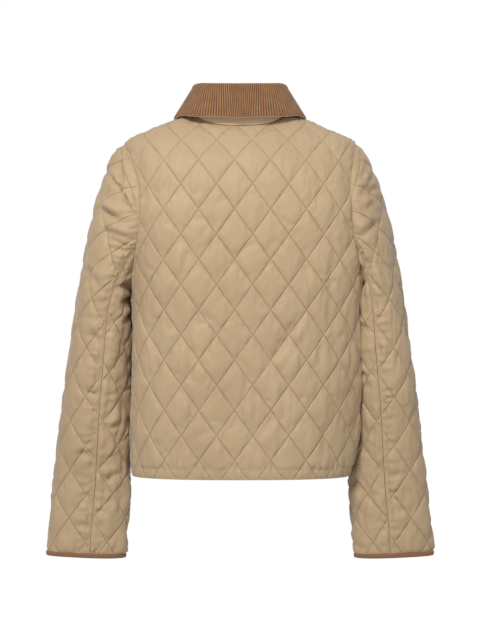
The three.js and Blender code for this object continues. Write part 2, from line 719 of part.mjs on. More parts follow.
// Press studs on the centre front, each seated on the flat edge of the right front.
function pressStud(index, z) {
  const { radius, tall, rim } = STUD;
  const profile = [[0, 0], [radius - rim, 0], [radius, rim], [radius - rim, tall], [0, tall]];
  const geometry = new THREE.LatheGeometry(profile.map(([r, h]) => new THREE.Vector2(r, h)), 12);
  const stud = new THREE.Mesh(geometry, metal);
  const surface = (p, q) => bodyPoint(p, q, 1);
  const q = clothAt(z);
  const out = normalOf(surface, 0, q, -1);
  stud.quaternion.setFromUnitVectors(new THREE.Vector3(0, 1, 0), out);
  stud.position.copy(surface(0, q)).addScaledVector(out, LAP.rise + WALL + SEAM_GAP);
  stud.name = `stud_${index + 1}`;
  return stud;
}

const jacket = new THREE.Group();
jacket.add(backPanel(), frontPanel(-1), frontPanel(1));
const underMiddle = (BACK_SEAM + FRONT_SEAM + 2) / 2;
[-1, 1].forEach((side) => {
  jacket.add(sleevePiece('topsleeve', side, FRONT_SEAM, BACK_SEAM, 0, SLEEVE_LATTICE_SHIFT));
  jacket.add(sleevePiece('undersleeve', side, BACK_SEAM, FRONT_SEAM + 2, underMiddle, 0));
  jacket.add(cuffBinding(side));
});
jacket.add(...collarPieces());
jacket.add(...STUD.heights.map((z, index) => pressStud(index, z)));

export default jacket;
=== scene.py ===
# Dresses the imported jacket: quilted nylon, a corduroy collar and cuffs, and press studs.
# The forms are worked out in millimetres, in the frame's own axes, and turned to metres
# when a mesh is made. The back faces -Y and the wearer's right is +X.
import math

import bpy
import numpy as np
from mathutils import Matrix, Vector


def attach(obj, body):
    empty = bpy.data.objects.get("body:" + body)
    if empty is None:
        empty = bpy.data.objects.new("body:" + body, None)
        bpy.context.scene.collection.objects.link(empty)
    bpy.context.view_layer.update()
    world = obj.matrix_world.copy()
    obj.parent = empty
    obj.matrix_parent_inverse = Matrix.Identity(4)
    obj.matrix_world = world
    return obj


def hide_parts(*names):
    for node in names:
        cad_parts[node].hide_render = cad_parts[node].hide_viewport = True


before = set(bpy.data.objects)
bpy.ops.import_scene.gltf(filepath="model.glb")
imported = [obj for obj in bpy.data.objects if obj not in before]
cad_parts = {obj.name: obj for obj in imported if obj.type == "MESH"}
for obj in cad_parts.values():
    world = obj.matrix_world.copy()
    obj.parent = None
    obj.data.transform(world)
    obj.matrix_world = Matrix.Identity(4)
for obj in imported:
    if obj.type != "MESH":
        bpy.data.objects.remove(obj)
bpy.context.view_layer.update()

MM = 0.001

# Cloth and quilting.
WALL = 2.0
PUFF = 3.0
SEAM_WALL = 1.5
SEAM_GAP = 0.6
FORM_INSET = 4.0
DIAMOND_WIDE = 54.0
DIAMOND_TALL = 75.5
LATTICE_SHIFT = -8.0
LINE_GAP = DIAMOND_WIDE * DIAMOND_TALL / math.hypot(DIAMOND_WIDE, DIAMOND_TALL)
LINE_STEP = math.hypot(DIAMOND_WIDE, DIAMOND_TALL) / 2

# Half-widths and depths of the body's outside at each height.
BODY_COLUMNS = ("z", "left", "right", "back", "front", "power")
BODY = (
    (24, 50, 50, 24, 24, 2.2),
    (8, 76, 76, 42, 33, 2.2),
    (-3, 98, 98, 50, 39, 2.2),
    (-15, 127, 127, 58, 45, 2.25),
    (-27, 157, 157, 71, 51, 2.3),
    (-36, 175, 175, 80, 56, 2.35),
    (-43, 182, 182, 86, 59, 2.4),
    (-50, 183, 186, 92, 63, 2.4),
    (-74, 182, 190, 106, 73, 2.6),
    (-109, 178, 193, 114, 86, 2.8),
    (-147, 177, 196, 117, 95, 3),
    (-190, 176, 196, 118, 105, 3),
    (-230, 174, 195, 118, 112, 3),
    (-268, 169, 193, 117, 112, 3),
    (-300, 166, 191, 116, 110, 2.9),
    (-360, 167, 191, 114, 110, 2.8),
    (-437, 169, 189, 113, 110, 2.6),
    (-499, 170, 184, 112, 110, 2.5),
    (-553, 169, 171, 112, 110, 2.4),
)
NECK_SEAM_BACK = -15.0
HEM = -553.0
NECK = {"half_wide": 75, "half_deep": 63.5, "y": 7, "power": 2.7}
ARMHOLE = {"z": -154.5, "half_tall": 113.5, "half_deep": 78}

# Sleeve sections from the armpit to the wrist, by their outside.
SLEEVE_COLUMNS = ("z", "outer", "inner", "deep", "y")
SLEEVE = (
    (-312, 259, 166, 150, 12),
    (-375, 268, 167, 138, 13),
    (-437, 276.5, 169.5, 122, 15),
    (-500, 283.5, 170, 106, 16),
    (-558, 290.5, 170, 88, 18),
    (-620, 297.5, 174, 74, 20),
    (-681, 303, 178, 64, 22),
)
ARMPIT = -312.0
WRIST = -675.0
CUFF_END = -681.0
CUFF_TILT = 2.0
SLEEVE_POWER = 2.2
SLEEVE_CLEAR = 3.2
SLEEVE_CLEAR_WITHIN = 20.0
SLEEVE_LATTICE_SHIFT = -9.0
SLEEVE_LATTICE_DROP = -81.0
CAP = {"top_out": 0.8, "under_out": 0.76, "start": 0.57, "start_least": 60, "end": 0.9, "spread": 0.75}
CAP_GAP = 0.5
BACK_SEAM = 0.55
FRONT_SEAM = -0.72

# Front opening.
LAP = {"over": 12, "under": 10, "rise": 2.7, "full_to": 38, "none_from": 72}
PLACKET = {"flat_to": 14, "quilted_from": 26}

# Collar stations from the centre back (turn 0) to the centre front (turn 180).
COLLAR_COLUMNS = ("turn", "fold", "edge_x", "edge_y", "off", "clear")
COLLAR = (
    (0, 41.3, 0, -61.5, 16.8, 0),
    (30, 42, 45, -57, 15.6, 0),
    (60, 44, 80, -38, 9.8, 0),
    (90, 44.6, 100, 0, 4, 4),
    (120, 20, 96, 42, 7.2, 7.2),
    (150, -22, 73, 74, 10, 10),
    (176, -56, 44, 85, 10.2, 10.2),
)
COLLAR_RING = {"half_wide": 68, "half_deep": 58, "y": 4, "power": 2.6}
COLLAR_END = 176.0
COLLAR_ROLL = 5.0
COLLAR_SEAT = {"up": 0.9, "off": 0.75}


def curve_through(x, y):
    """A smooth curve through the points, without overshoot between them."""
    order = np.argsort(x)
    x, y = np.asarray(x, float)[order], np.asarray(y, float)[order]
    rise = np.diff(y) / np.diff(x)
    slope = np.zeros(len(x))
    slope[0], slope[-1] = rise[0], rise[-1]
    turns = rise[:-1] * rise[1:] <= 0
    safe = np.where(turns, 1.0, rise[:-1]), np.where(turns, 1.0, rise[1:])
    slope[1:-1] = np.where(turns, 0.0, 2 / (1 / safe[0] + 1 / safe[1]))

    def value(at):
        at = np.clip(at, x[0], x[-1])
        i = np.clip(np.searchsorted(x, at, "right") - 1, 0, len(x) - 2)
        step = x[i + 1] - x[i]
        t = (at - x[i]) / step
        start = y[i] * (1 + 2 * t) * (1 - t) ** 2 + slope[i] * step * t * (1 - t) ** 2
        end = y[i + 1] * t * t * (3 - 2 * t) + slope[i + 1] * step * t * t * (t - 1)
        return start + end

    return value


def column_curves(names, rows):
    """A curve for each named column of a table, along its first column."""
    rows = np.array(rows, float)
    return {name: curve_through(rows[:, 0], rows[:, i]) for i, name in enumerate(names) if i}


def smooth_step(start, end, value):
    t = np.clip((value - start) / (end - start), 0, 1)
    return t * t * (3 - 2 * t)


def super_x(wide, deep, power, y):
    """Half-width of a rounded rectangle at y."""
    return wide * np.maximum(0, 1 - (np.abs(y) / deep) ** power) ** (1 / power)


QUARTER_TURNS = np.linspace(0, math.pi / 2, 241)


def quarter(wide, deep, power):
    """A quarter of a rounded rectangle, from (0, deep) to (wide, 0): x, y and length so far."""
    x = wide * np.sin(QUARTER_TURNS) ** (2 / power)
    y = deep * np.maximum(0, np.cos(QUARTER_TURNS)) ** (2 / power)
    run = np.concatenate([[0], np.cumsum(np.hypot(np.diff(x), np.diff(y)))])
    return x, y, run


def look_up(table, row, column):
    """Values of table (rows, columns, ...) between its entries."""
    row = np.clip(row, 0, table.shape[0] - 1.000001)
    column = np.clip(column, 0, table.shape[1] - 1.000001)
    i, j = row.astype(int), column.astype(int)
    u, v = (row - i)[..., None], (column - j)[..., None]
    near = table[i, j] * (1 - v) + table[i, j + 1] * v
    far = table[i + 1, j] * (1 - v) + table[i + 1, j + 1] * v
    return near * (1 - u) + far * u


# The body's form: the inside of the cloth, by length of cloth across (p) and up (q).
body = column_curves(BODY_COLUMNS, BODY)


def body_section(z, side, face, extra=0.0):
    wide = np.where(np.asarray(side) < 0, body["left"](z), body["right"](z))
    deep = np.where(np.asarray(face) < 0, body["back"](z), body["front"](z))
    return wide - FORM_INSET + extra, deep - FORM_INSET + extra, body["power"](z)


heights = np.arange(HEM - 12, BODY[0][0] + 1, 1.0)
runs = np.concatenate([[0], np.cumsum(np.hypot(1.0, np.diff(body["back"](heights))))])
runs -= np.interp(NECK_SEAM_BACK, heights, runs)


def cloth_at(z):
    return np.interp(z, heights, runs)


def height_at(q):
    return np.interp(q, runs, heights)


ARC_STEP = 2.0
ARCS = np.arange(0, 320, ARC_STEP)


def body_table(side, face):
    rows = []
    for z in heights:
        x, y, run = quarter(*(float(v) for v in body_section(z, side, face)))
        past = np.maximum(0, ARCS - run[-1])
        rows.append(np.stack([np.interp(ARCS, run, x), np.interp(ARCS, run, y) - past], -1))
    return np.array(rows)


BODY_TABLES = {(side, face): body_table(side, face) for side in (-1, 1) for face in (-1, 1)}


def body_point(p, q, face):
    z = height_at(q)
    row, column = z - heights[0], np.abs(p) / ARC_STEP
    left = look_up(BODY_TABLES[-1, face], row, column)
    right = look_up(BODY_TABLES[1, face], row, column)
    flat = np.where((p < 0)[..., None], left, right)
    return np.stack([np.sign(p) * flat[..., 0], face * flat[..., 1], z], -1)


def pattern_at(x, z, side, face):
    across, _, run = quarter(*(float(v) for v in body_section(z, side, face)))
    return np.sign(x) * np.interp(abs(x), across, run), float(cloth_at(z))


def body_reach(point):
    x, y, z = point[..., 0], point[..., 1], point[..., 2]
    wide, deep, power = body_section(z, x, y)
    return (np.abs(x) / wide) ** power + (np.abs(y) / deep) ** power - 1


def body_height(x, y):
    """Height of the body's inside surface over a place in plan."""
    low, high = np.full(np.shape(x), float(ARMHOLE["z"])), np.full(np.shape(x), float(BODY[0][0]))
    for _ in range(30):
        middle = (low + high) / 2
        outside = body_reach(np.stack([x, y, middle], -1)) > 0
        high = np.where(outside, middle, high)
        low = np.where(outside, low, middle)
    return low


SLOPE_STEP = 0.5
SETTLE_ROUNDS = 4


def away_from_body(point):
    """The way out of the body at a point, and how far off its inside the point lies."""
    slope = []
    for axis in range(3):
        step = np.zeros(3)
        step[axis] = SLOPE_STEP
        slope.append((body_reach(point + step) - body_reach(point - step)) / (2 * SLOPE_STEP))
    out = np.stack(slope, -1)
    length = np.linalg.norm(out, axis=-1)
    return out / length[..., None], body_reach(point) / length


def kept_off(point, least):
    for _ in range(SETTLE_ROUNDS):
        out, distance = away_from_body(point)
        point = point + out * np.maximum(0, least - distance)[..., None]
    return point


def neck_y(x, face):
    return NECK["y"] + face * super_x(NECK["half_deep"], NECK["half_wide"], NECK["power"], x)


# The sleeves' forms: rings below the armpit, and rails above it that run to the armhole.
sleeve = column_curves(SLEEVE_COLUMNS, SLEEVE)
SHARES = np.linspace(-1, 1, 401)
RING_STEP = 1.5
RING_HEIGHTS = np.arange(CUFF_END - 3, ARMPIT + 0.5, RING_STEP)
RAIL_TIMES = np.linspace(0, 1, 61)
RAIL_ROWS = np.linspace(0, 1, 81)


def cuff_rise(share):
    """The wrist rises a little towards the sleeve's outer line."""
    return CUFF_TILT * np.cos(math.pi * share)


def sleeve_quarter(z):
    wide = (sleeve["outer"](z) - sleeve["inner"](z)) / 2 - FORM_INSET
    return quarter(float(wide), float(sleeve["deep"](z)) / 2 - FORM_INSET, SLEEVE_POWER)


GIRTH_HEIGHTS = np.arange(CUFF_END - 5, ARMPIT + 1, 3.0)
GIRTHS = np.array([2 * sleeve_quarter(z)[2][-1] for z in GIRTH_HEIGHTS])


def half_girth(z):
    return np.interp(z, GIRTH_HEIGHTS, GIRTHS)


def clear_of_body(point, side, clear):
    """Keeps a sleeve point, drawn on the right-hand side, off the body beside it."""
    x, y, z = point[..., 0], point[..., 1], point[..., 2]
    wide, deep, power = body_section(z, side, y, clear)
    least = super_x(wide, deep, power, y)
    kept = np.where(z > HEM - clear, np.maximum(x, least), x)
    return np.stack([kept, y, z], -1)


def sleeve_ring(z, shares, side):
    x, y, run = sleeve_quarter(z)
    around = np.where(shares > 1, shares - 2, shares)
    along = (0.5 - np.abs(around)) * 2 * run[-1]
    across = np.interp(np.abs(along), run, x) * np.sign(along)
    deep = np.interp(np.abs(along), run, y) * np.where(around < 0, 1, -1)
    middle = float(sleeve["outer"](z) + sleeve["inner"](z)) / 2
    ring = np.stack([middle + across, float(sleeve["y"](z)) + deep, np.full(np.shape(shares), z)], -1)
    return clear_of_body(ring, side, SLEEVE_CLEAR)


def armhole_point(turn, inset, side, face):
    y = face * (ARMHOLE["half_deep"] - inset) * np.sin(turn)
    z = ARMHOLE["z"] + (ARMHOLE["half_tall"] - inset) * np.cos(turn)
    wide, deep, power = body_section(z, side, face)
    return np.stack([super_x(wide, deep, power, y), y, z], -1)


def unit(vector):
    return vector / np.linalg.norm(vector, axis=-1, keepdims=True)


def sleeve_rails(side):
    """Points of the cap as (row, share): row 0 is at the armpit's height, the last at the armhole."""
    face = np.where(SHARES < 0, 1, -1)
    turn = math.pi * np.abs(SHARES) ** CAP["spread"]
    out = CAP["top_out"] + (CAP["under_out"] - CAP["top_out"]) * np.abs(SHARES)
    leave = np.stack([out, 0 * out, -np.sqrt(1 - out**2)], -1)
    inward = armhole_point(turn, 1.0, side, face) - armhole_point(turn, 0.0, side, face)
    length = np.linalg.norm(inward, axis=-1)
    angle = np.arccos(np.clip((inward * leave).sum(-1) / length, -1, 1))
    inset = (CAP_GAP + SEAM_WALL * np.tan(angle / 2)) / length
    start = armhole_point(turn, inset, side, face)
    end = sleeve_ring(ARMPIT, SHARES, side)
    reach = np.linalg.norm(end - start, axis=-1)[:, None]
    arrive = unit(sleeve_ring(ARMPIT - 1, SHARES, side) - end) * CAP["end"] * reach
    leaving = leave * np.maximum(CAP["start"] * reach, CAP["start_least"])
    t = RAIL_TIMES[:, None, None]
    rails = start * (1 + 2 * t) * (1 - t) ** 2 + leaving * t * (1 - t) ** 2
    rails = rails + end * t * t * (3 - 2 * t) + arrive * t * t * (t - 1)
    near = np.linalg.norm(rails - start, axis=-1) / SLEEVE_CLEAR_WITHIN
    rails = clear_of_body(rails, side, SLEEVE_CLEAR * np.minimum(1, near))[::-1]
    run = np.cumsum(np.linalg.norm(np.diff(rails, axis=0), axis=-1), axis=0)
    run = np.concatenate([np.zeros((1, len(SHARES))), run])
    table = np.zeros((len(RAIL_ROWS), len(SHARES), 3))
    for j in range(len(SHARES)):
        for axis in range(3):
            table[:, j, axis] = np.interp(RAIL_ROWS * run[-1, j], run[:, j], rails[:, j, axis])
    return table, run[-1]


RINGS = {side: np.array([sleeve_ring(z, SHARES, side) for z in RING_HEIGHTS]) for side in (-1, 1)}
RAILS = {side: sleeve_rails(side) for side in (-1, 1)}


def rail_length(share, side):
    around = np.where(np.asarray(share) > 1, np.asarray(share) - 2, share)
    return np.interp(around, SHARES, RAILS[side][1])


def sleeve_point(p, q, middle, side):
    z = np.minimum(ARMPIT + q, ARMPIT)
    share = middle + p / half_girth(z)
    share = np.where(share > 1, share - 2, share)
    column = (share + 1) / 2 * (len(SHARES) - 1)
    rings = look_up(RINGS[side], (z - RING_HEIGHTS[0]) / RING_STEP, column)
    table, whole = RAILS[side]
    up = np.maximum(q, 0) / np.interp(share, SHARES, whole)
    rails = look_up(table, up * (len(RAIL_ROWS) - 1), column)
    point = np.where((q > 0)[..., None], rails, rings)
    return point * np.array([side, 1, 1])


NORMAL_STEP = 1.5


def normals_of(surface, p, q, hand):
    across = surface(p + NORMAL_STEP, q) - surface(p - NORMAL_STEP, q)
    up = surface(p, q + NORMAL_STEP) - surface(p, q - NORMAL_STEP)
    return unit(np.cross(across, up)) * hand


class Noise:
    """Seeded smooth noise from -1 to 1 over two coordinates."""

    SIZE = 64

    def __init__(self, seed):
        self.values = np.random.default_rng(seed).uniform(-1, 1, (self.SIZE, self.SIZE))

    def at(self, i, j):
        return self.values[i % self.SIZE, j % self.SIZE]

    def __call__(self, x, y):
        i, j = np.floor(x).astype(int), np.floor(y).astype(int)
        u, v = x - i, y - j
        u, v = u * u * (3 - 2 * u), v * v * (3 - 2 * v)
        low = self.at(i, j) * (1 - u) + self.at(i + 1, j) * u
        high = self.at(i, j + 1) * (1 - u) + self.at(i + 1, j + 1) * u
        return low * (1 - v) + high * v


LINE_NOISE = Noise(11)
SOFT_NOISE = Noise(12)
CELL_NOISE = Noise(13)
SEAM_NOISE = Noise(14)
FINE_NOISE = Noise(15)
CREASE_NOISE = Noise(16)

# Quilting of the drawn cloth.
CROWN_WITHIN = 18.0
GROOVE = {"deep": 1.0, "within": 0.9}
PUCKER = {"high": 1.7, "long": 5.5, "within": 8.0}
PLUMP = {"spread": 0.18, "lean": 0.24}
SOFT = {"high": 0.9, "wide": 30.0, "long": 75.0}
CRUMPLE = {"high": 1.1, "wide": 9.0, "long": 30.0}
CRINKLE = {"deep": 1.5, "wide": 24.0, "long": 58.0, "sharp": 0.13}
SEAM = {"within": 5.0, "pucker": 2.0, "long": 6.0, "pucker_within": 14.0}
BAND = {"puff": 0.2, "extra": 0.8, "line": 1.5, "pucker": 2.2, "pucker_long": 4.0, "pucker_wide": 18.0}
LEAST_WALL = 0.7
STITCH = {"pitch": 3.4, "long": 2.8, "half": 0.26, "over": 0.16, "sunk": 0.4, "from_edge": 2.5}


def lattice(p, q, origin):
    s = (p - origin[0]) / DIAMOND_WIDE + (q - origin[1]) / DIAMOND_TALL
    t = (p - origin[0]) / DIAMOND_WIDE - (q - origin[1]) / DIAMOND_TALL
    return s, t


def from_lattice(s, t, origin):
    return origin[0] + DIAMOND_WIDE * (s + t) / 2, origin[1] + DIAMOND_TALL * (s - t) / 2


def crown(distance):
    """From 0 on a stitch line to 1 in the middle of a diamond."""
    return np.sin(np.minimum(1, distance / CROWN_WITHIN) * math.pi / 2) ** 0.75


def groove(distance):
    return np.exp(-((distance / GROOVE["within"]) ** 2))


def pucker_along(offset, along, line, seed):
    """Small creases across a stitch line, which die out to each side of it."""
    away = np.abs(offset)
    fade = np.exp(-away / PUCKER["within"]) * (1 - np.exp(-away / 1.2))
    wave = LINE_NOISE(along / PUCKER["long"] + seed, line * 5.3 + np.sign(offset) * 1.7 + away / 18)
    return PUCKER["high"] * fade * wave


def quilt(p, q, origin, seed, worn):
    """The padding's height at cloth coordinates, and the depth of the stitched grooves."""
    s, t = lattice(p, q, origin)
    from_s, from_t = (s - np.round(s)) * LINE_GAP, (t - np.round(t)) * LINE_GAP
    full = crown(np.abs(from_s)) * crown(np.abs(from_t))
    cell_s, cell_t = np.floor(s), np.floor(t)
    plump = 1 + PLUMP["spread"] * CELL_NOISE(cell_s + 0.5 + seed, cell_t + 0.5)
    lean = PLUMP["lean"] * CELL_NOISE(cell_s + 7.5, cell_t + 3.5 + seed) * (s - cell_s - t + cell_t)
    puckers = pucker_along(from_s, t * LINE_STEP, np.round(s), seed)
    puckers = puckers + pucker_along(from_t, s * LINE_STEP, np.round(t), seed + 31)
    own = 3.7 * cell_s + 5.1 * cell_t
    crumple = CRUMPLE["high"] * FINE_NOISE(p / CRUMPLE["wide"] + own, q / CRUMPLE["long"] + own + seed)
    crease = np.abs(CREASE_NOISE(p / CRINKLE["wide"] + own + seed, q / CRINKLE["long"] + own))
    crinkle = CRINKLE["deep"] * np.exp(-((crease / CRINKLE["sharp"]) ** 2))
    small = worn * (puckers + crumple - crinkle)
    puff = PUFF * full * (plump + lean) + small * np.minimum(1, full * 2)
    return puff, np.maximum(groove(from_s), groove(from_t))


# Folds are rows of x0, z0, x1, z1, width and depth.
FOLD_DEPTH = 2.2


def crease_depth(rows, x, z):
    """Troughs with a soft ridge beside them, laid on the drawn side."""
    total = np.zeros(x.shape)
    for index, row in enumerate(rows):
        x0, z0, x1, z1, wide, deep = (float(v) for v in row)
        length = math.hypot(x1 - x0, z1 - z0)
        t = ((x - x0) * (x1 - x0) + (z - z0) * (z1 - z0)) / length**2
        off = ((x - x0) * (z1 - z0) - (z - z0) * (x1 - x0)) / length
        off = off + 0.4 * wide * CREASE_NOISE(t * 2.6 + index, t * 0 + 0.5 + 3 * index)
        ends = smooth_step(-0.2, 0.35, t) * (1 - smooth_step(0.65, 1.2, t))
        trough = np.exp(-((off / wide) ** 2))
        ridge = np.exp(-(((off - 2 * wide) / (1.4 * wide)) ** 2))
        total = total + FOLD_DEPTH * deep * ends * (0.6 * ridge - trough)
    return total


def inside_outline(outline, p, q):
    """Which points lie inside a closed outline."""
    inside = np.zeros(p.shape, bool)
    for a, b in zip(outline, np.roll(outline, -1, axis=0)):
        if a[1] == b[1]:
            continue
        crosses = (a[1] > q) != (b[1] > q)
        inside ^= crosses & (p < (b[0] - a[0]) * (q - a[1]) / (b[1] - a[1]) + a[0])
    return inside


def nearest_on(outline, p, q):
    """Distance to an outline, the nearest place on it, and how far round that is."""
    best = np.full(p.shape, np.inf)
    at_p, at_q, at_run = np.zeros(p.shape), np.zeros(p.shape), np.zeros(p.shape)
    run = 0.0
    for a, b in zip(outline, np.roll(outline, -1, axis=0)):
        d = b - a
        length = float(np.hypot(*d))
        if length == 0:
            continue
        t = np.clip(((p - a[0]) * d[0] + (q - a[1]) * d[1]) / length**2, 0, 1)
        near_p, near_q = a[0] + t * d[0], a[1] + t * d[1]
        distance = np.hypot(p - near_p, q - near_q)
        closer = distance < best
        best = np.where(closer, distance, best)
        at_p, at_q = np.where(closer, near_p, at_p), np.where(closer, near_q, at_q)
        at_run = np.where(closer, run + t * length, at_run)
        run += length
    return best, at_p, at_q, at_run


# Places of the grid's lines within one diamond, closer together at the stitch lines.
GRID = np.array([0, 0.013, 0.034, 0.066, 0.11, 0.165, 0.23, 0.297, 0.365, 0.432])
GRID_LINES = np.concatenate([GRID, [0.5], 1 - GRID[:0:-1]])


def grid_places(low, high):
    first, last = math.floor(low), math.ceil(high)
    places = [whole + GRID_LINES for whole in range(first, last)]
    return np.concatenate([*places, [float(last)]])


def flat_grid(outline, origin):
    """A grid along the stitch lines, cut to the outline: cloth coordinates and quads."""
    s, t = lattice(outline[:, 0], outline[:, 1], origin)
    s_at, t_at = np.meshgrid(grid_places(s.min(), s.max()), grid_places(t.min(), t.max()), indexing="ij")
    p, q = from_lattice(s_at, t_at, origin)
    inside = inside_outline(outline, p, q)
    kept = inside[:-1, :-1] | inside[1:, :-1] | inside[1:, 1:] | inside[:-1, 1:]
    index = np.arange(p.size).reshape(p.shape)
    quads = np.stack([index[:-1, :-1], index[1:, :-1], index[1:, 1:], index[:-1, 1:]], -1)[kept]
    used = np.unique(quads)
    number = np.full(p.size, -1)
    number[used] = np.arange(len(used))
    p, q, inside = p.ravel()[used], q.ravel()[used], inside.ravel()[used]
    distance, edge_p, edge_q, run = nearest_on(outline, p, q)
    p, q = np.where(inside, p, edge_p), np.where(inside, q, edge_q)
    return p, q, np.where(inside, distance, 0), run, number[quads]


def border_edges(quads):
    """Edges that only one quad has, in the quads' own direction."""
    edges = np.stack([quads, np.roll(quads, -1, axis=1)], -1).reshape(-1, 2)
    key = np.sort(edges, axis=1)
    _, first, count = np.unique(key, axis=0, return_index=True, return_counts=True)
    return edges[first[count == 1]]


def mesh_piece(name, points, faces, materials, creased=50):
    """A smooth mesh object from points in millimetres."""
    mesh = bpy.data.meshes.new(name)
    mesh.from_pydata((points * MM).tolist(), [], faces)
    mesh.validate()
    mesh.shade_smooth()
    mesh.set_sharp_from_angle(angle=math.radians(creased))
    for material in materials:
        mesh.materials.append(material)
    piece = bpy.data.objects.new(name, mesh)
    bpy.context.scene.collection.objects.link(piece)
    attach(piece, "root")
    return piece


def two_layers(name, outer, inner, quads, hand, materials):
    """A closed wall between two layers of points that share their quads."""
    count = len(outer)
    ordered = quads if hand > 0 else quads[:, ::-1]
    rim = border_edges(ordered)
    sides = np.stack([rim[:, 1], rim[:, 0], rim[:, 0] + count, rim[:, 1] + count], -1)
    faces = np.concatenate([ordered, ordered[:, ::-1] + count, sides]).tolist()
    return mesh_piece(name, np.concatenate([outer, inner]), faces, materials)


# One stitch: its two tips, then two rings of three points.
STITCH_TIPS = np.array([(0, 2, 3), (0, 3, 4), (0, 4, 2), (1, 6, 5), (1, 7, 6), (1, 5, 7)])
STITCH_SIDES = np.array([(2, 5, 6, 3), (3, 6, 7, 4), (4, 7, 5, 2)])
STITCH_POINTS = 8


def threads(name, places, normal, material):
    """Stitches through places (4, count, 3): their two sunk ends and the two points between."""
    along = unit(places[2] - places[1])
    across = np.cross(normal, along)
    ring = [across, normal, -across]
    points = [places[0], places[3]]
    points += [places[1] + STITCH["half"] * way for way in ring]
    points += [places[2] + STITCH["half"] * way for way in ring]
    count = places.shape[1]
    points = np.stack(points, 1).reshape(-1, 3)
    start = STITCH_POINTS * np.arange(count)[:, None, None]
    faces = (STITCH_TIPS + start).reshape(-1, 3).tolist()
    faces += (STITCH_SIDES + start).reshape(-1, 4).tolist()
    return mesh_piece(name, points, faces, [material], 180)


STITCH_PLACES = (
    (-0.5, -STITCH["sunk"]),
    (-0.3, STITCH["over"]),
    (0.3, STITCH["over"]),
    (0.5, -STITCH["sunk"]),
)


# Materials.
def srgb(red, green, blue):
    channels = []
    for value in (red, green, blue):
        value /= 255
        channels.append(value / 12.92 if value <= 0.04045 else ((value + 0.055) / 1.055) ** 2.4)
    return (*channels, 1.0)


def plain_material(name, colour, roughness, sockets=()):
    material = bpy.data.materials.new(name)
    material.use_nodes = True
    shader = material.node_tree.nodes["Principled BSDF"]
    shader.inputs["Base Color"].default_value = colour
    shader.inputs["Roughness"].default_value = roughness
    for socket, value in sockets:
        shader.inputs[socket].default_value = value
    return material


def noise_node(material, scale, detail, stretch=(1, 1, 1)):
    """Noise in the frame's own metres."""
    nodes, links = material.node_tree.nodes, material.node_tree.links
    place = nodes.new("ShaderNodeTexCoord")
    stretched = nodes.new("ShaderNodeMapping")
    stretched.inputs["Scale"].default_value = stretch
    noise = nodes.new("ShaderNodeTexNoise")
    noise.inputs["Scale"].default_value = scale
    noise.inputs["Detail"].default_value = detail
    links.new(place.outputs["Object"], stretched.inputs["Vector"])
    links.new(stretched.outputs["Vector"], noise.inputs["Vector"])
    return noise


def add_bump(material, scale, strength, distance, detail=2.0, stretch=(1, 1, 1)):
    """Relief in the material, over any that it has already."""
    noise = noise_node(material, scale, detail, stretch)
    nodes, links = material.node_tree.nodes, material.node_tree.links
    bump = nodes.new("ShaderNodeBump")
    bump.inputs["Strength"].default_value = strength
    bump.inputs["Distance"].default_value = distance
    links.new(noise.outputs["Fac"], bump.inputs["Height"])
    normal = nodes["Principled BSDF"].inputs["Normal"]
    if normal.links:
        links.new(normal.links[0].from_socket, bump.inputs["Normal"])
    links.new(bump.outputs["Normal"], normal)


def vary_colour(material, low, high, scale):
    """Soft uneven colour between two shades."""
    noise = noise_node(material, scale, 3.0)
    nodes, links = material.node_tree.nodes, material.node_tree.links
    ramp = nodes.new("ShaderNodeValToRGB")
    ramp.color_ramp.elements[0].position = 0.3
    ramp.color_ramp.elements[0].color = low
    ramp.color_ramp.elements[1].position = 0.7
    ramp.color_ramp.elements[1].color = high
    links.new(noise.outputs["Fac"], ramp.inputs["Fac"])
    links.new(ramp.outputs["Color"], nodes["Principled BSDF"].inputs["Base Color"])


SATIN = [("Specular IOR Level", 0.22), ("Sheen Weight", 0.2), ("Sheen Roughness", 0.45)]
CREASED = {"scale": 110.0, "strength": 0.8, "distance": 0.0024, "detail": 3.0, "stretch": (1, 1, 0.4)}
WEAVE = {"scale": 900.0, "strength": 0.08, "distance": 0.0003}
nylon = plain_material("nylon", srgb(173, 149, 117), 0.55, SATIN)
vary_colour(nylon, srgb(169, 145, 113), srgb(177, 153, 120), 9.0)
add_bump(nylon, **CREASED)
add_bump(nylon, **WEAVE)
# The collar stand's nylon is painted paler than the shell: painted light that lifts the shade under the
# collar's fall.
stand_nylon_painted_light = plain_material("collar_stand_nylon_painted_light", srgb(228, 202, 168), 0.5, SATIN)
add_bump(stand_nylon_painted_light, **WEAVE)
# The thread is dark brown: partly its own colour, partly painted shade of the stitched grooves.
thread_and_groove_shade = plain_material("thread_and_groove_shade", srgb(136, 111, 80), 0.7)

NAP = [("Specular IOR Level", 0.12), ("Sheen Weight", 0.25), ("Sheen Roughness", 0.5)]
corduroy = plain_material("corduroy", srgb(136, 98, 66), 0.92, NAP)
vary_colour(corduroy, srgb(127, 90, 59), srgb(146, 107, 73), 70.0)
add_bump(corduroy, 1800.0, 0.35, 0.0004)
# Painted shade: a dark corduroy for the channels between the wales.
wale_channel_shade = plain_material("corduroy_channel_shade", srgb(86, 58, 37), 0.95)
bound = plain_material("corduroy_binding", srgb(128, 94, 67), 0.92, NAP)
add_bump(bound, 1800.0, 0.35, 0.0004)
brass = plain_material("brass", srgb(168, 146, 104), 0.32, [("Metallic", 1.0)])


# The cloth panels.
def spread(start, end, steps):
    return np.linspace(start, end, steps + 1)


def no_lift(p):
    return 0 * p


def all_full(p, q, base):
    return 1 + 0 * p


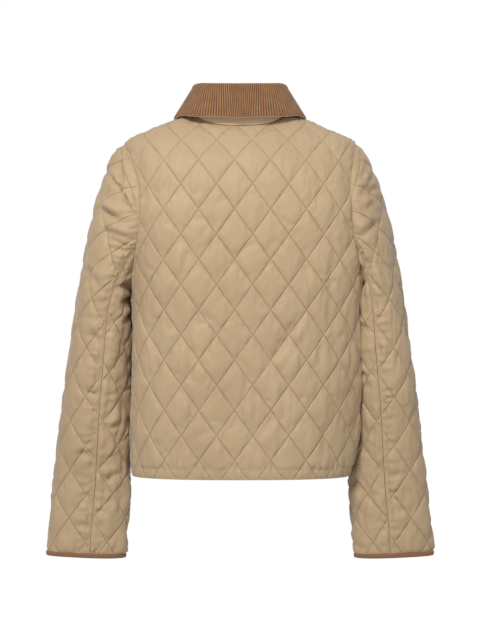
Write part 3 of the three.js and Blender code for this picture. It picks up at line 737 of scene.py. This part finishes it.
def lattice_stitches(outline, origin):
    """Middles and directions of the stitches along both families of quilting lines."""
    s, t = lattice(outline[:, 0], outline[:, 1], origin)
    step = STITCH["pitch"] / LINE_STEP
    s_steps, t_steps = np.arange(s.min(), s.max(), step), np.arange(t.min(), t.max(), step)
    s_lines = np.arange(math.ceil(s.min()), math.floor(s.max()) + 1)
    t_lines = np.arange(math.ceil(t.min()), math.floor(t.max()) + 1)
    down = np.meshgrid(s_lines, t_steps, indexing="ij")
    up = np.meshgrid(s_steps, t_lines, indexing="ij")
    way = np.array([DIAMOND_WIDE, DIAMOND_TALL]) / (2 * LINE_STEP)
    found = []
    for (s_at, t_at), sign in ((down, -1), (up, 1)):
        p, q = from_lattice(s_at.ravel(), t_at.ravel(), origin)
        ways = np.broadcast_to(way * np.array([1, sign]), (len(p), 2))
        found.append((p, q, ways))
    p, q = (np.concatenate([found[0][i], found[1][i]]) for i in (0, 1))
    return p, q, np.concatenate([found[0][2], found[1][2]])


# Share of the padding's height that shows on the inside of the cloth.
INSIDE_PUFF = 0.25


def panel(
    name, outline, origin, surface, hand, seed, folds, lift=no_lift, full=all_full, bands=(), worn=1.0
):
    """One cut piece of quilted cloth on its form, in place of the CAD node of its name.

    full is how much of the padding and its grooves there is, bands are its stitched edges, and
    folds gives the soft folds' height at points of the form.
    """
    outline = np.array(outline)

    def rise(p, q, from_edge, run, base):
        puff, grooves = quilt(p, q, origin, seed, worn)
        share = full(p, q, base)
        fade = smooth_step(0, SEAM["within"], from_edge)
        soft = SOFT["high"] * SOFT_NOISE(p / SOFT["wide"] + seed, q / SOFT["long"] + seed)
        seam = SEAM_NOISE(run / SEAM["long"], from_edge / 15 + seed)
        seam = worn * SEAM["pucker"] * seam * np.exp(-from_edge / SEAM["pucker_within"])
        height = puff * share + soft + seam
        dips = GROOVE["deep"] * grooves * share**0.5
        extra = np.zeros(p.shape)
        for band in bands:
            away, wide = band["away"](p, q), band["wide"]
            height = height * (BAND["puff"] + (1 - BAND["puff"]) * smooth_step(wide - 1, wide + 3, away))
            extra = extra + BAND["extra"] * (1 - smooth_step(wide - 1, wide + 1, away))
            wave = LINE_NOISE(band["along"](p, q) / BAND["pucker_long"], away / BAND["pucker_wide"] + seed)
            past = smooth_step(wide, wide + 1.3 * BAND["pucker_wide"], away)
            near = smooth_step(0, wide, away) * (1 - past)
            height = height + worn * BAND["pucker"] * wave * near
            for line in band["lines"]:
                dips = np.maximum(dips, BAND["line"] * groove(away - line))
        dips = dips * np.minimum(1, from_edge / 2)
        stands = SEAM_WALL + (WALL - SEAM_WALL + height + extra) * fade - dips
        return np.maximum(stands, LEAST_WALL), height * fade

    p, q, from_edge, run, quads = flat_grid(outline, origin)
    base = surface(p, q)
    normal = normals_of(surface, p, q, hand)
    outer, padded = rise(p, q, from_edge, run, base)
    fold = folds(base) * smooth_step(0, 12, from_edge)
    top = base + normal * (lift(p) + fold + outer)[:, None]
    under = base + normal * (lift(p) + fold - INSIDE_PUFF * padded)[:, None]
    piece = two_layers(name, top, under, quads, hand, [nylon])

    # Stitches along the quilting lines carry the dark thread, partly painted shade of the grooves.
    mid_p, mid_q, ways = lattice_stitches(outline, origin)
    for band in bands:
        for away in band["lines"]:
            more_p, more_q, more_ways = band["line"](away)
            mid_p, mid_q = np.concatenate([mid_p, more_p]), np.concatenate([mid_q, more_q])
            ways = np.concatenate([ways, more_ways])
    away = nearest_on(outline, mid_p, mid_q)[0]
    kept = inside_outline(outline, mid_p, mid_q) & (away > STITCH["from_edge"])
    kept &= full(mid_p, mid_q, surface(mid_p, mid_q)) > 0.2
    mid_p, mid_q, ways = mid_p[kept], mid_q[kept], ways[kept]
    places = []
    for along, over in STITCH_PLACES:
        at_p, at_q = mid_p + ways[:, 0] * along * STITCH["long"], mid_q + ways[:, 1] * along * STITCH["long"]
        at_away, _, _, at_run = nearest_on(outline, at_p, at_q)
        at = surface(at_p, at_q)
        at_normal = normals_of(surface, at_p, at_q, hand)
        high, _ = rise(at_p, at_q, at_away, at_run, at)
        fold = folds(at) * smooth_step(0, 12, at_away)
        places.append(at + at_normal * (lift(at_p) + fold + high + over)[:, None])
    sewing = threads(f"stitches_{name}", np.array(places), at_normal, thread_and_groove_shade)

    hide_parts(name)
    return piece


# The panels' stitched bands: how far a place is from the edge, along it, and where a line of it runs.
HEM_BAND = {"lines": (16.5,), "wide": 16.5}
SLEEVE_BAND = {"lines": (1.4, 7.6), "wide": 7.6}
BAND_REACH = 330.0


def hem_band():
    hem = float(cloth_at(HEM))

    def line(away):
        p = np.arange(-BAND_REACH, BAND_REACH, STITCH["pitch"])
        return p, np.full(p.shape, hem + away), np.tile([1.0, 0.0], (len(p), 1))

    return {**HEM_BAND, "away": lambda p, q: q - hem, "along": lambda p, q: p, "line": line}


def back_seam_band():
    def edge(q):
        return BACK_SEAM * half_girth(np.minimum(ARMPIT + q, ARMPIT))

    def line(away):
        q = np.arange(WRIST - ARMPIT, BAND_REACH, STITCH["pitch"])
        slope = (edge(q + 1) - edge(q - 1)) / 2
        return edge(q) - away, q, unit(np.stack([slope, 0 * q + 1], -1))

    return {**SLEEVE_BAND, "away": lambda p, q: edge(q) - p, "along": lambda p, q: q, "line": line}


# Where a sleeve lies against the body, both are pressed flatter.
PRESSED = {"near": 9.0, "far": 24.0, "least": 0.8, "above": (-255.0, -285.0)}


def pressed(away, z):
    beside = smooth_step(*PRESSED["above"], z)
    flat = PRESSED["least"] + (1 - PRESSED["least"]) * smooth_step(PRESSED["near"], PRESSED["far"], away)
    return 1 - beside * (1 - flat)


def body_full(base):
    x, y, z = np.abs(base[..., 0]), base[..., 1], base[..., 2]
    low = np.maximum(z, CUFF_END)
    wide = (sleeve["outer"](low) - sleeve["inner"](low)) / 2 - FORM_INSET
    deep = sleeve["deep"](low) / 2 - FORM_INSET
    off = y - sleeve["y"](low)
    middle = (sleeve["outer"](low) + sleeve["inner"](low)) / 2
    inner = middle - super_x(wide, deep, SLEEVE_POWER, off)
    body_x = super_x(*body_section(z, base[..., 0], y, SLEEVE_CLEAR), y)
    away = np.where(np.abs(off) < deep, np.maximum(inner, body_x) - x, PRESSED["far"])
    return pressed(away, z)


def sleeve_full(base):
    x, y, z = np.abs(base[..., 0]), base[..., 1], base[..., 2]
    away = x - super_x(*body_section(z, base[..., 0], y), y)
    return np.where(z > HEM, pressed(away, z), 1.0)


# Soft folds, listed by their ends in x and z, their width and their depth.
BACK_FOLDS = (
    (-76, -345, -75, -398, 6, 1.3),
    (-72, -436, -73, -468, 5, 1.2),
    (45, -378, 88, -312, 8, 2.0),
    (58, -392, 99, -330, 7, 1.3),
    (34, -490, 49, -452, 5, 1.3),
    (68, -412, 63, -462, 6, 1.2),
    (24, -412, 21, -462, 6, 0.9),
    (-68, -296, -64, -328, 5, 0.9),
    (124, -350, 114, -386, 5, 1.1),
    (-106, -96, -111, -120, 4, 1.2),
    (-79, -206, -84, -242, 5, 1.4),
    (-50, -172, -58, -194, 5, 1.1),
    (96, -200, 100, -262, 7, 0.9),
    (138, -240, 132, -320, 7, 1.0),
    (-128, -300, -124, -420, 8, 0.9),
    (30, -250, 26, -300, 6, 0.8),
    (-20, -480, -26, -530, 6, 0.9),
    (128, -470, 122, -525, 6, 1.1),
)
FRONT_FOLDS = (
    (-92, -170, -84, -262, 8, 1.5),
    (-60, -330, -68, -410, 7, 1.3),
    (-112, -420, -100, -500, 7, 1.3),
    (58, -230, 66, -318, 7, 1.3),
    (104, -150, 92, -232, 8, 1.5),
    (88, -390, 98, -470, 7, 1.3),
    (128, -300, 120, -380, 7, 1.1),
    (-40, -450, -46, -520, 6, 1.0),
)
LEFT_SLEEVE_FOLDS = (
    (178, -50, 160, -88, 4, 1.8),
    (184, -64, 178, -112, 4, 1.5),
    (203, -84, 158, -156, 3.5, 1.8),
    (213, -144, 184, -159, 5, 2.2),
    (206, -176, 166, -191, 4.5, 2.0),
    (200, -188, 167, -202, 4, 1.8),
    (196, -203, 170, -208, 4, 1.2),
    (186, -262, 164, -252, 4, 1.6),
    (184, -286, 164, -276, 4, 1.4),
    (182, -318, 168, -300, 4, 1.3),
    (238, -230, 212, -262, 6, 0.9),
    (232, -330, 210, -352, 6, 1.0),
    (236, -420, 216, -428, 5, 1.1),
    (250, -520, 226, -516, 5, 1.0),
    (200, -480, 184, -470, 5, 1.2),
    (206, -560, 186, -545, 5, 1.2),
)
RIGHT_SLEEVE_FOLDS = (
    (204, -84, 180, -129, 4, 2.0),
    (196, -70, 182, -104, 4, 1.3),
    (208, -108, 190, -127, 4.5, 2.0),
    (203, -134, 190, -144, 4, 1.6),
    (209, -163, 182, -186, 5, 2.2),
    (194, -219, 189, -265, 5, 1.5),
    (214, -236, 226, -256, 6, 0.9),
    (198, -330, 184, -318, 4, 1.3),
    (196, -400, 182, -392, 4, 1.2),
    (184, -484, 180, -512, 5, 1.6),
    (178, -556, 208, -604, 5, 1.6),
    (186, -548, 202, -578, 4, 1.2),
    (228, -608, 256, -606, 5, 1.4),
    (226, -556, 250, -548, 5, 1.1),
    (222, -640, 246, -636, 5, 1.2),
)
SLEEVE_TURN = 14.0
# How much deeper than drawn the folds are on each sleeve's back.
SLEEVE_DEEPER = {-1: 1.7, 1: 1.0}


def body_folds(face):
    rows = BACK_FOLDS if face < 0 else FRONT_FOLDS
    return lambda base: crease_depth(rows, base[..., 0], base[..., 2])


def sleeve_folds(side):
    """Folds on the sleeve's back, and on its front those of the other sleeve."""
    back, front = LEFT_SLEEVE_FOLDS, RIGHT_SLEEVE_FOLDS
    if side > 0:
        back, front = front, back

    def depth(base):
        x, z = np.abs(base[..., 0]), base[..., 2]
        off = base[..., 1] - sleeve["y"](np.clip(z, CUFF_END, ARMPIT))
        behind, before = smooth_step(0, SLEEVE_TURN, -off), smooth_step(0, SLEEVE_TURN, off)
        return SLEEVE_DEEPER[side] * crease_depth(back, x, z) * behind + crease_depth(front, x, z) * before

    return depth


def neck_points(xs, face):
    points = []
    for x in xs:
        y = float(neck_y(x, face))
        z = float(body_height(np.array(float(x)), np.array(y)))
        points.append(pattern_at(x, z, -1 if x < 0 else 1, -1 if y < 0 else 1))
    return points


def side_edge(z, side, face):
    run = quarter(*(float(v) for v in body_section(z, side, face)))[2]
    return side * (run[-1] - SEAM_GAP / 2), float(cloth_at(z))


def shoulder_to_hem(side, face):
    neck_side = float(body_height(np.array(side * float(NECK["half_wide"])), np.array(face * 0.01)))
    top, bottom = ARMHOLE["z"] + ARMHOLE["half_tall"], ARMHOLE["z"] - ARMHOLE["half_tall"]
    points = [side_edge(z, side, face) for z in spread(neck_side, top, 24)]
    for turn in spread(0, math.pi, 48)[1:-1]:
        y = face * ARMHOLE["half_deep"] * math.sin(turn)
        z = ARMHOLE["z"] + ARMHOLE["half_tall"] * math.cos(turn)
        wide, deep, power = (float(v) for v in body_section(z, side, face))
        points.append(pattern_at(side * float(super_x(wide, deep, power, y)), z, side, face))
    return points + [side_edge(z, side, face) for z in spread(bottom, HEM, 48)]


BODY_ORIGIN = (LATTICE_SHIFT, 0.0)
FAINT_TOP = {"least": 0.5, "from": -40.0, "to": -200.0}


def neck_xs(start, end, steps=16):
    return NECK["half_wide"] * np.sin(spread(start, end, steps))


def back_full(p, q, base):
    """The quilting is shallower over the shoulders, where the cloth is stretched."""
    deepening = smooth_step(FAINT_TOP["from"], FAINT_TOP["to"], q)
    return (FAINT_TOP["least"] + (1 - FAINT_TOP["least"]) * deepening) * body_full(base)


back_neck = neck_points(neck_xs(-math.pi / 2, math.pi / 2, 32)[1:-1], -1)
panel(
    "back",
    back_neck + shoulder_to_hem(1, -1) + shoulder_to_hem(-1, -1)[::-1],
    BODY_ORIGIN,
    lambda p, q: body_point(p, q, -1),
    1,
    1,
    full=back_full,
    bands=[hem_band()],
    folds=body_folds(-1),
)


def front_lift(p):
    return LAP["rise"] * (1 - smooth_step(LAP["full_to"], LAP["none_from"], p))


def front_panel(side):
    past = LAP["over"] if side > 0 else LAP["under"]
    turned = side * neck_xs(math.pi / 2, 0)[1:-1]
    neck = neck_points([*turned, -side * past], 1)
    corner = (-side * past, float(cloth_at(HEM)))

    def front_full(p, q, base):
        return smooth_step(PLACKET["flat_to"], PLACKET["quilted_from"], side * p) * body_full(base)

    panel(
        "front_right" if side > 0 else "front_left",
        [corner, *neck[::-1], *shoulder_to_hem(side, 1)],
        BODY_ORIGIN,
        lambda p, q: body_point(p, q, 1),
        -1,
        2 + side,
        lift=front_lift if side > 0 else no_lift,
        full=front_full,
        bands=[hem_band()],
        folds=body_folds(1),
    )


front_panel(-1)
front_panel(1)


CAP_STEPS = 64


def sleeve_piece(name, side, first, last, middle, shift, seed, bands, worn, lift=no_lift):
    def edge(share, z, inward):
        across = (share - middle) * half_girth(min(z, ARMPIT)) + inward * SEAM_GAP / 2
        return float(across), z - ARMPIT

    def seam(share, inward):
        low, top = WRIST + float(cuff_rise(share)), ARMPIT + float(rail_length(share, side))
        places = [*spread(low, ARMPIT, 30), *spread(ARMPIT, top, 16)[1:-1]]
        return [edge(share, z, inward) for z in places]

    shares = spread(first, last, CAP_STEPS)
    inward = [1, *[0] * (CAP_STEPS - 1), -1]
    cap = [edge(s, ARMPIT + float(rail_length(s, side)), i) for s, i in zip(shares, inward)]
    wrist = [edge(s, WRIST + float(cuff_rise(s)), 0) for s in shares[::-1][1:-1]]
    panel(
        f"{name}_{'right' if side > 0 else 'left'}",
        [*seam(first, 1), *cap, *seam(last, -1)[::-1], *wrist][::-1],
        (shift, SLEEVE_LATTICE_DROP),
        lambda p, q: sleeve_point(p, q, middle, side),
        -side,
        seed,
        lift=lift,
        full=lambda p, q, base: sleeve_full(base),
        bands=bands,
        folds=sleeve_folds(side),
        worn=worn,
    )


# The sleeves are creased more than the body, most of all on their undersides.
TOP_WORN, UNDER_WORN = 1.1, 1.8
UNDER_MIDDLE = (BACK_SEAM + FRONT_SEAM + 2) / 2
BULGE = {"high": 1.2, "wide": 28.0}
SEEDS = {-1: (5, 8), 1: (7, 10)}


def under_lift(p):
    """The undersleeve's middle bulges out against the body."""
    return BULGE["high"] * np.exp(-((p / BULGE["wide"]) ** 2))


for side, (top_seed, under_seed) in SEEDS.items():
    band = [back_seam_band()]
    sleeve_piece(
        "topsleeve", side, FRONT_SEAM, BACK_SEAM, 0.0, SLEEVE_LATTICE_SHIFT, top_seed, band, TOP_WORN
    )
    sleeve_piece(
        "undersleeve",
        side,
        BACK_SEAM,
        FRONT_SEAM + 2,
        UNDER_MIDDLE,
        0.0,
        under_seed,
        [],
        UNDER_WORN,
        under_lift,
    )


# The collar.
collar = column_curves(COLLAR_COLUMNS, COLLAR)
WALE = 3.0
WALE_HIGH = 0.95
WALE_STEPS = 6
WALE_SHADE_STEPS = (0, 5)
COLLAR_HALF_GAP = 0.15
COLLAR_WALL = 1.7
STAND_STEPS = 8
ROLL_STEPS = 8
FALL_STEPS = 20
EDGE_STITCH = 6.5
STEP_UNDER = 6


def ring_at(size, angle, side):
    x = side * size["half_wide"] * np.sin(angle) ** (2 / size["power"])
    deep = size["half_deep"] * np.abs(np.cos(angle)) ** (2 / size["power"])
    return x, size["y"] - np.sign(np.cos(angle)) * deep


def collar_lines(turn):
    """Lines up the stand, round the roll and down the fall, one for each turn."""
    side = np.where(turn < 0, -1.0, 1.0)
    angle = np.radians(np.abs(turn))
    x, y = ring_at(NECK, angle, side)
    seat = kept_off(np.stack([x, y, body_height(x, y)], -1), COLLAR_SEAT["off"])
    seat[:, 2] += COLLAR_SEAT["up"]
    x, y = ring_at(COLLAR_RING, angle, side)
    row = {name: curve(np.abs(turn)) for name, curve in collar.items()}
    out = np.stack([side * np.sin(angle), -np.cos(angle), 0 * angle], -1)
    centre = np.stack([x, y, row["fold"]], -1)
    edge_x, edge_y = side * row["edge_x"], row["edge_y"]
    edge = kept_off(np.stack([edge_x, edge_y, body_height(edge_x, edge_y)], -1), row["off"])
    inner, outer = centre - out * COLLAR_ROLL, centre + out * COLLAR_ROLL
    lines = [seat + (inner - seat) * t for t in spread(0, 1, STAND_STEPS)]
    for t in spread(0, math.pi, ROLL_STEPS)[1:-1]:
        up = np.array([0, 0, COLLAR_ROLL * math.sin(t)])
        lines.append(centre - out * COLLAR_ROLL * math.cos(t) + up)
    for t in spread(0, 1, FALL_STEPS)[:-1]:
        lines.append(kept_off(outer + (edge - outer) * t, row["clear"]))
    return np.stack([*lines, edge], 1)


def even_turns():
    """Turns an even length apart along the collar's fold, one for each step of a wale."""
    turn = np.linspace(-COLLAR_END, COLLAR_END, 1200)
    fold = collar_lines(turn)[:, STAND_STEPS + ROLL_STEPS // 2]
    run = np.concatenate([[0], np.cumsum(np.linalg.norm(np.diff(fold, axis=0), axis=-1))])
    count = int(round(run[-1] / WALE)) * WALE_STEPS
    return np.interp(np.linspace(0, run[-1], count + 1), run, turn)


def grid_quads(rows, columns):
    index = np.arange(rows * columns).reshape(rows, columns)
    return np.stack([index[:-1, :-1], index[1:, :-1], index[1:, 1:], index[:-1, 1:]], -1).reshape(-1, 4)


def grid_normals(lines):
    return unit(np.cross(np.gradient(lines, axis=1), np.gradient(lines, axis=0)))


def line_run(lines):
    steps = np.linalg.norm(np.diff(lines, axis=1), axis=-1)
    return np.concatenate([np.zeros((len(lines), 1)), np.cumsum(steps, axis=1)], 1)


def collar_layer(name, lines, near, far, materials):
    quads = grid_quads(*lines.shape[:2])
    piece = two_layers(name, far.reshape(-1, 3), near.reshape(-1, 3), quads, -1, materials)
    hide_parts(name)
    return piece


def collar_stitches(lines, normal, thick):
    """A line of topstitching along the fall's edge."""
    run = line_run(lines)
    at_row = np.array([np.interp(row[-1] - EDGE_STITCH, row, np.arange(len(row))) for row in run])
    columns = np.arange(len(lines), dtype=float)
    surface_at = look_up(lines + normal * (COLLAR_HALF_GAP + thick)[..., None], columns, at_row)
    normal_at = unit(look_up(normal, columns, at_row))
    length = np.concatenate([[0], np.cumsum(np.linalg.norm(np.diff(surface_at, axis=0), axis=-1))])
    middles = np.arange(EDGE_STITCH, length[-1] - EDGE_STITCH, STITCH["pitch"])

    def sample(table, at):
        return np.stack([np.interp(at, length, table[:, axis]) for axis in range(3)], -1)

    places = []
    for along, over in STITCH_PLACES:
        at = middles + along * STITCH["long"]
        places.append(sample(surface_at, at) + sample(normal_at, at) * over)
    return threads("stitches_collar", np.array(places), unit(sample(normal_at, middles)), thread_and_groove_shade)


turns = even_turns()
lines = collar_lines(turns)
normal = grid_normals(lines)
wale = np.abs(np.sin(np.arange(len(turns)) * math.pi / WALE_STEPS)) ** 0.6
run = line_run(lines)
to_edge = run[:, -1:] - run
across = np.concatenate([[0], np.cumsum(np.linalg.norm(np.diff(lines[:, -1], axis=0), axis=-1))])
to_end = np.minimum(across, across[-1] - across)[:, None]
border = np.minimum(to_edge, to_end + 0 * to_edge)
dip = 0.5 * np.exp(-(((border - EDGE_STITCH) / 0.9) ** 2))
thick = (COLLAR_WALL + WALE_HIGH * (wale[:, None] - 1) - dip) * smooth_step(-1.5, 1.5, border)
near = lines + normal * COLLAR_HALF_GAP
sewing = collar_stitches(lines, normal, thick)
far = near + normal * thick[..., None]
top = collar_layer("collar_top", lines, near, far, [corduroy, wale_channel_shade])
# The faces in the channels between the wales get the painted shade.
column_of = np.arange(len(lines) - 1).repeat(lines.shape[1] - 1) % WALE_STEPS
channel_shade = np.zeros(len(top.data.polygons), int)
channel_shade[: len(column_of)] = np.isin(column_of, WALE_SHADE_STEPS)
top.data.polygons.foreach_set("material_index", channel_shade)

# The under collar gets the paler nylon, painted light in the shade under the fall.
under_lines, under_normal = lines[::STEP_UNDER], normal[::STEP_UNDER]
near = under_lines - under_normal * (COLLAR_HALF_GAP + WALL)
far = under_lines - under_normal * COLLAR_HALF_GAP
collar_layer("collar_under", under_lines, near, far, [stand_nylon_painted_light])


# Corduroy bindings round the cuffs: a rounded band, with wales across it.
BINDING = {"wall": 4.6, "inset": -0.4, "over": 1.2, "wale": 2.4, "high": 0.4}
BAND_STEPS = 14
RIB_STEPS = 5


def cuff_binding(side):
    girth = 2 * float(half_girth(WRIST))
    count = int(round(girth / BINDING["wale"])) * RIB_STEPS
    shares = np.linspace(-1, 1, count + 1)[:-1]
    ring = sleeve_ring(WRIST, shares, side) * np.array([side, 1, 1])
    ahead = np.roll(ring, -1, axis=0) - np.roll(ring, 1, axis=0)
    out = unit(np.stack([ahead[:, 1], -ahead[:, 0], 0 * ahead[:, 0]], -1)) * -side
    ribs = np.abs(np.sin(np.arange(count) * math.pi / RIB_STEPS)) ** 0.7 * BINDING["high"]
    middle = (WRIST + BINDING["over"] + CUFF_END) / 2
    tall = (WRIST + BINDING["over"] - CUFF_END) / 2
    half = BINDING["wall"] / 2
    rows = []
    for turn in np.linspace(0, 2 * math.pi, BAND_STEPS + 1)[:-1]:
        wide = np.sign(math.cos(turn)) * abs(math.cos(turn)) ** 0.6 * (half - BINDING["high"] + ribs)
        high = np.sign(math.sin(turn)) * abs(math.sin(turn)) ** 0.6 * tall
        point = ring + out * (BINDING["inset"] + half + wide)[:, None]
        point[:, 2] = middle + high + cuff_rise(shares)
        rows.append(point)
    points = np.stack(rows, 1)
    index = np.arange(points.shape[0] * BAND_STEPS).reshape(points.shape[:2])
    index = np.concatenate([index, index[:1]])
    index = np.concatenate([index, index[:, :1]], 1)
    quads = np.stack([index[:-1, :-1], index[1:, :-1], index[1:, 1:], index[:-1, 1:]], -1).reshape(-1, 4)
    quads = quads if side < 0 else quads[:, ::-1]
    name = f"cuff_binding_{'right' if side > 0 else 'left'}"
    piece = mesh_piece(name, points.reshape(-1, 3), quads.tolist(), [bound], 80)
    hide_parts(name)


cuff_binding(-1)
cuff_binding(1)


# The press studs keep their CAD form and get dull brass.
for name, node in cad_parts.items():
    if name.startswith("stud_"):
        for place in node.material_slots:
            place.material = brass


# Floor, light and camera.
FLOOR = {"z": -2.5, "size": 20}
bpy.ops.mesh.primitive_plane_add(size=FLOOR["size"], location=(0, 0, FLOOR["z"]))
floor = bpy.context.object
floor.name = "floor"
floor.data.materials.append(plain_material("pale_floor", (0.95, 0.95, 0.95, 1), 0.9))

# Soft even light from all round, in front of plain white.
AMBIENT = 0.5
world = bpy.data.worlds.new("studio")
bpy.context.scene.world = world
world.use_nodes = True
sky, sky_links = world.node_tree.nodes, world.node_tree.links
around, seen = sky["Background"], sky.new("ShaderNodeBackground")
around.inputs["Color"].default_value = (1, 1, 1, 1)
around.inputs["Strength"].default_value = AMBIENT
seen.inputs["Color"].default_value = (1, 1, 1, 1)
either, path = sky.new("ShaderNodeMixShader"), sky.new("ShaderNodeLightPath")
sky_links.new(path.outputs["Is Camera Ray"], either.inputs["Fac"])
sky_links.new(around.outputs["Background"], either.inputs[1])
sky_links.new(seen.outputs["Background"], either.inputs[2])
sky_links.new(either.outputs["Shader"], sky["World Output"].inputs["Surface"])


def look_along(way):
    return Vector(way).to_track_quat("-Z", "Y").to_euler()


def area_light(name, place, target, size, watts):
    data = bpy.data.lights.new(name, "AREA")
    data.shape = "RECTANGLE"
    data.size, data.size_y = size
    data.energy = watts
    light = bpy.data.objects.new(name, data)
    bpy.context.scene.collection.objects.link(light)
    light.location = place
    light.rotation_euler = look_along([t - p for t, p in zip(target, place)])


MIDDLE = (0, 0, -0.33)
area_light("key", (-0.65, -2.4, 1.5), (0, 0, -0.2), (0.7, 0.7), 77)
area_light("fill", (1.9, -2.5, 0.9), MIDDLE, (1.2, 1.2), 8)

CAMERA_AWAY = 3.2
CAMERA_HEIGHT = -0.313
PHOTO_TALL = 640
METRES_A_PIXEL = 0.00155
SENSOR = 36.0
camera_data = bpy.data.cameras.new("camera")
camera_data.sensor_width = SENSOR
camera_data.lens = SENSOR * CAMERA_AWAY / (PHOTO_TALL * METRES_A_PIXEL)
camera = bpy.data.objects.new("camera", camera_data)
bpy.context.scene.collection.objects.link(camera)
camera.location = (0, -CAMERA_AWAY, CAMERA_HEIGHT)
camera.rotation_euler = (math.pi / 2, 0, 0)
bpy.context.scene.camera = camera
bpy.context.scene.view_settings.view_transform = "Standard"
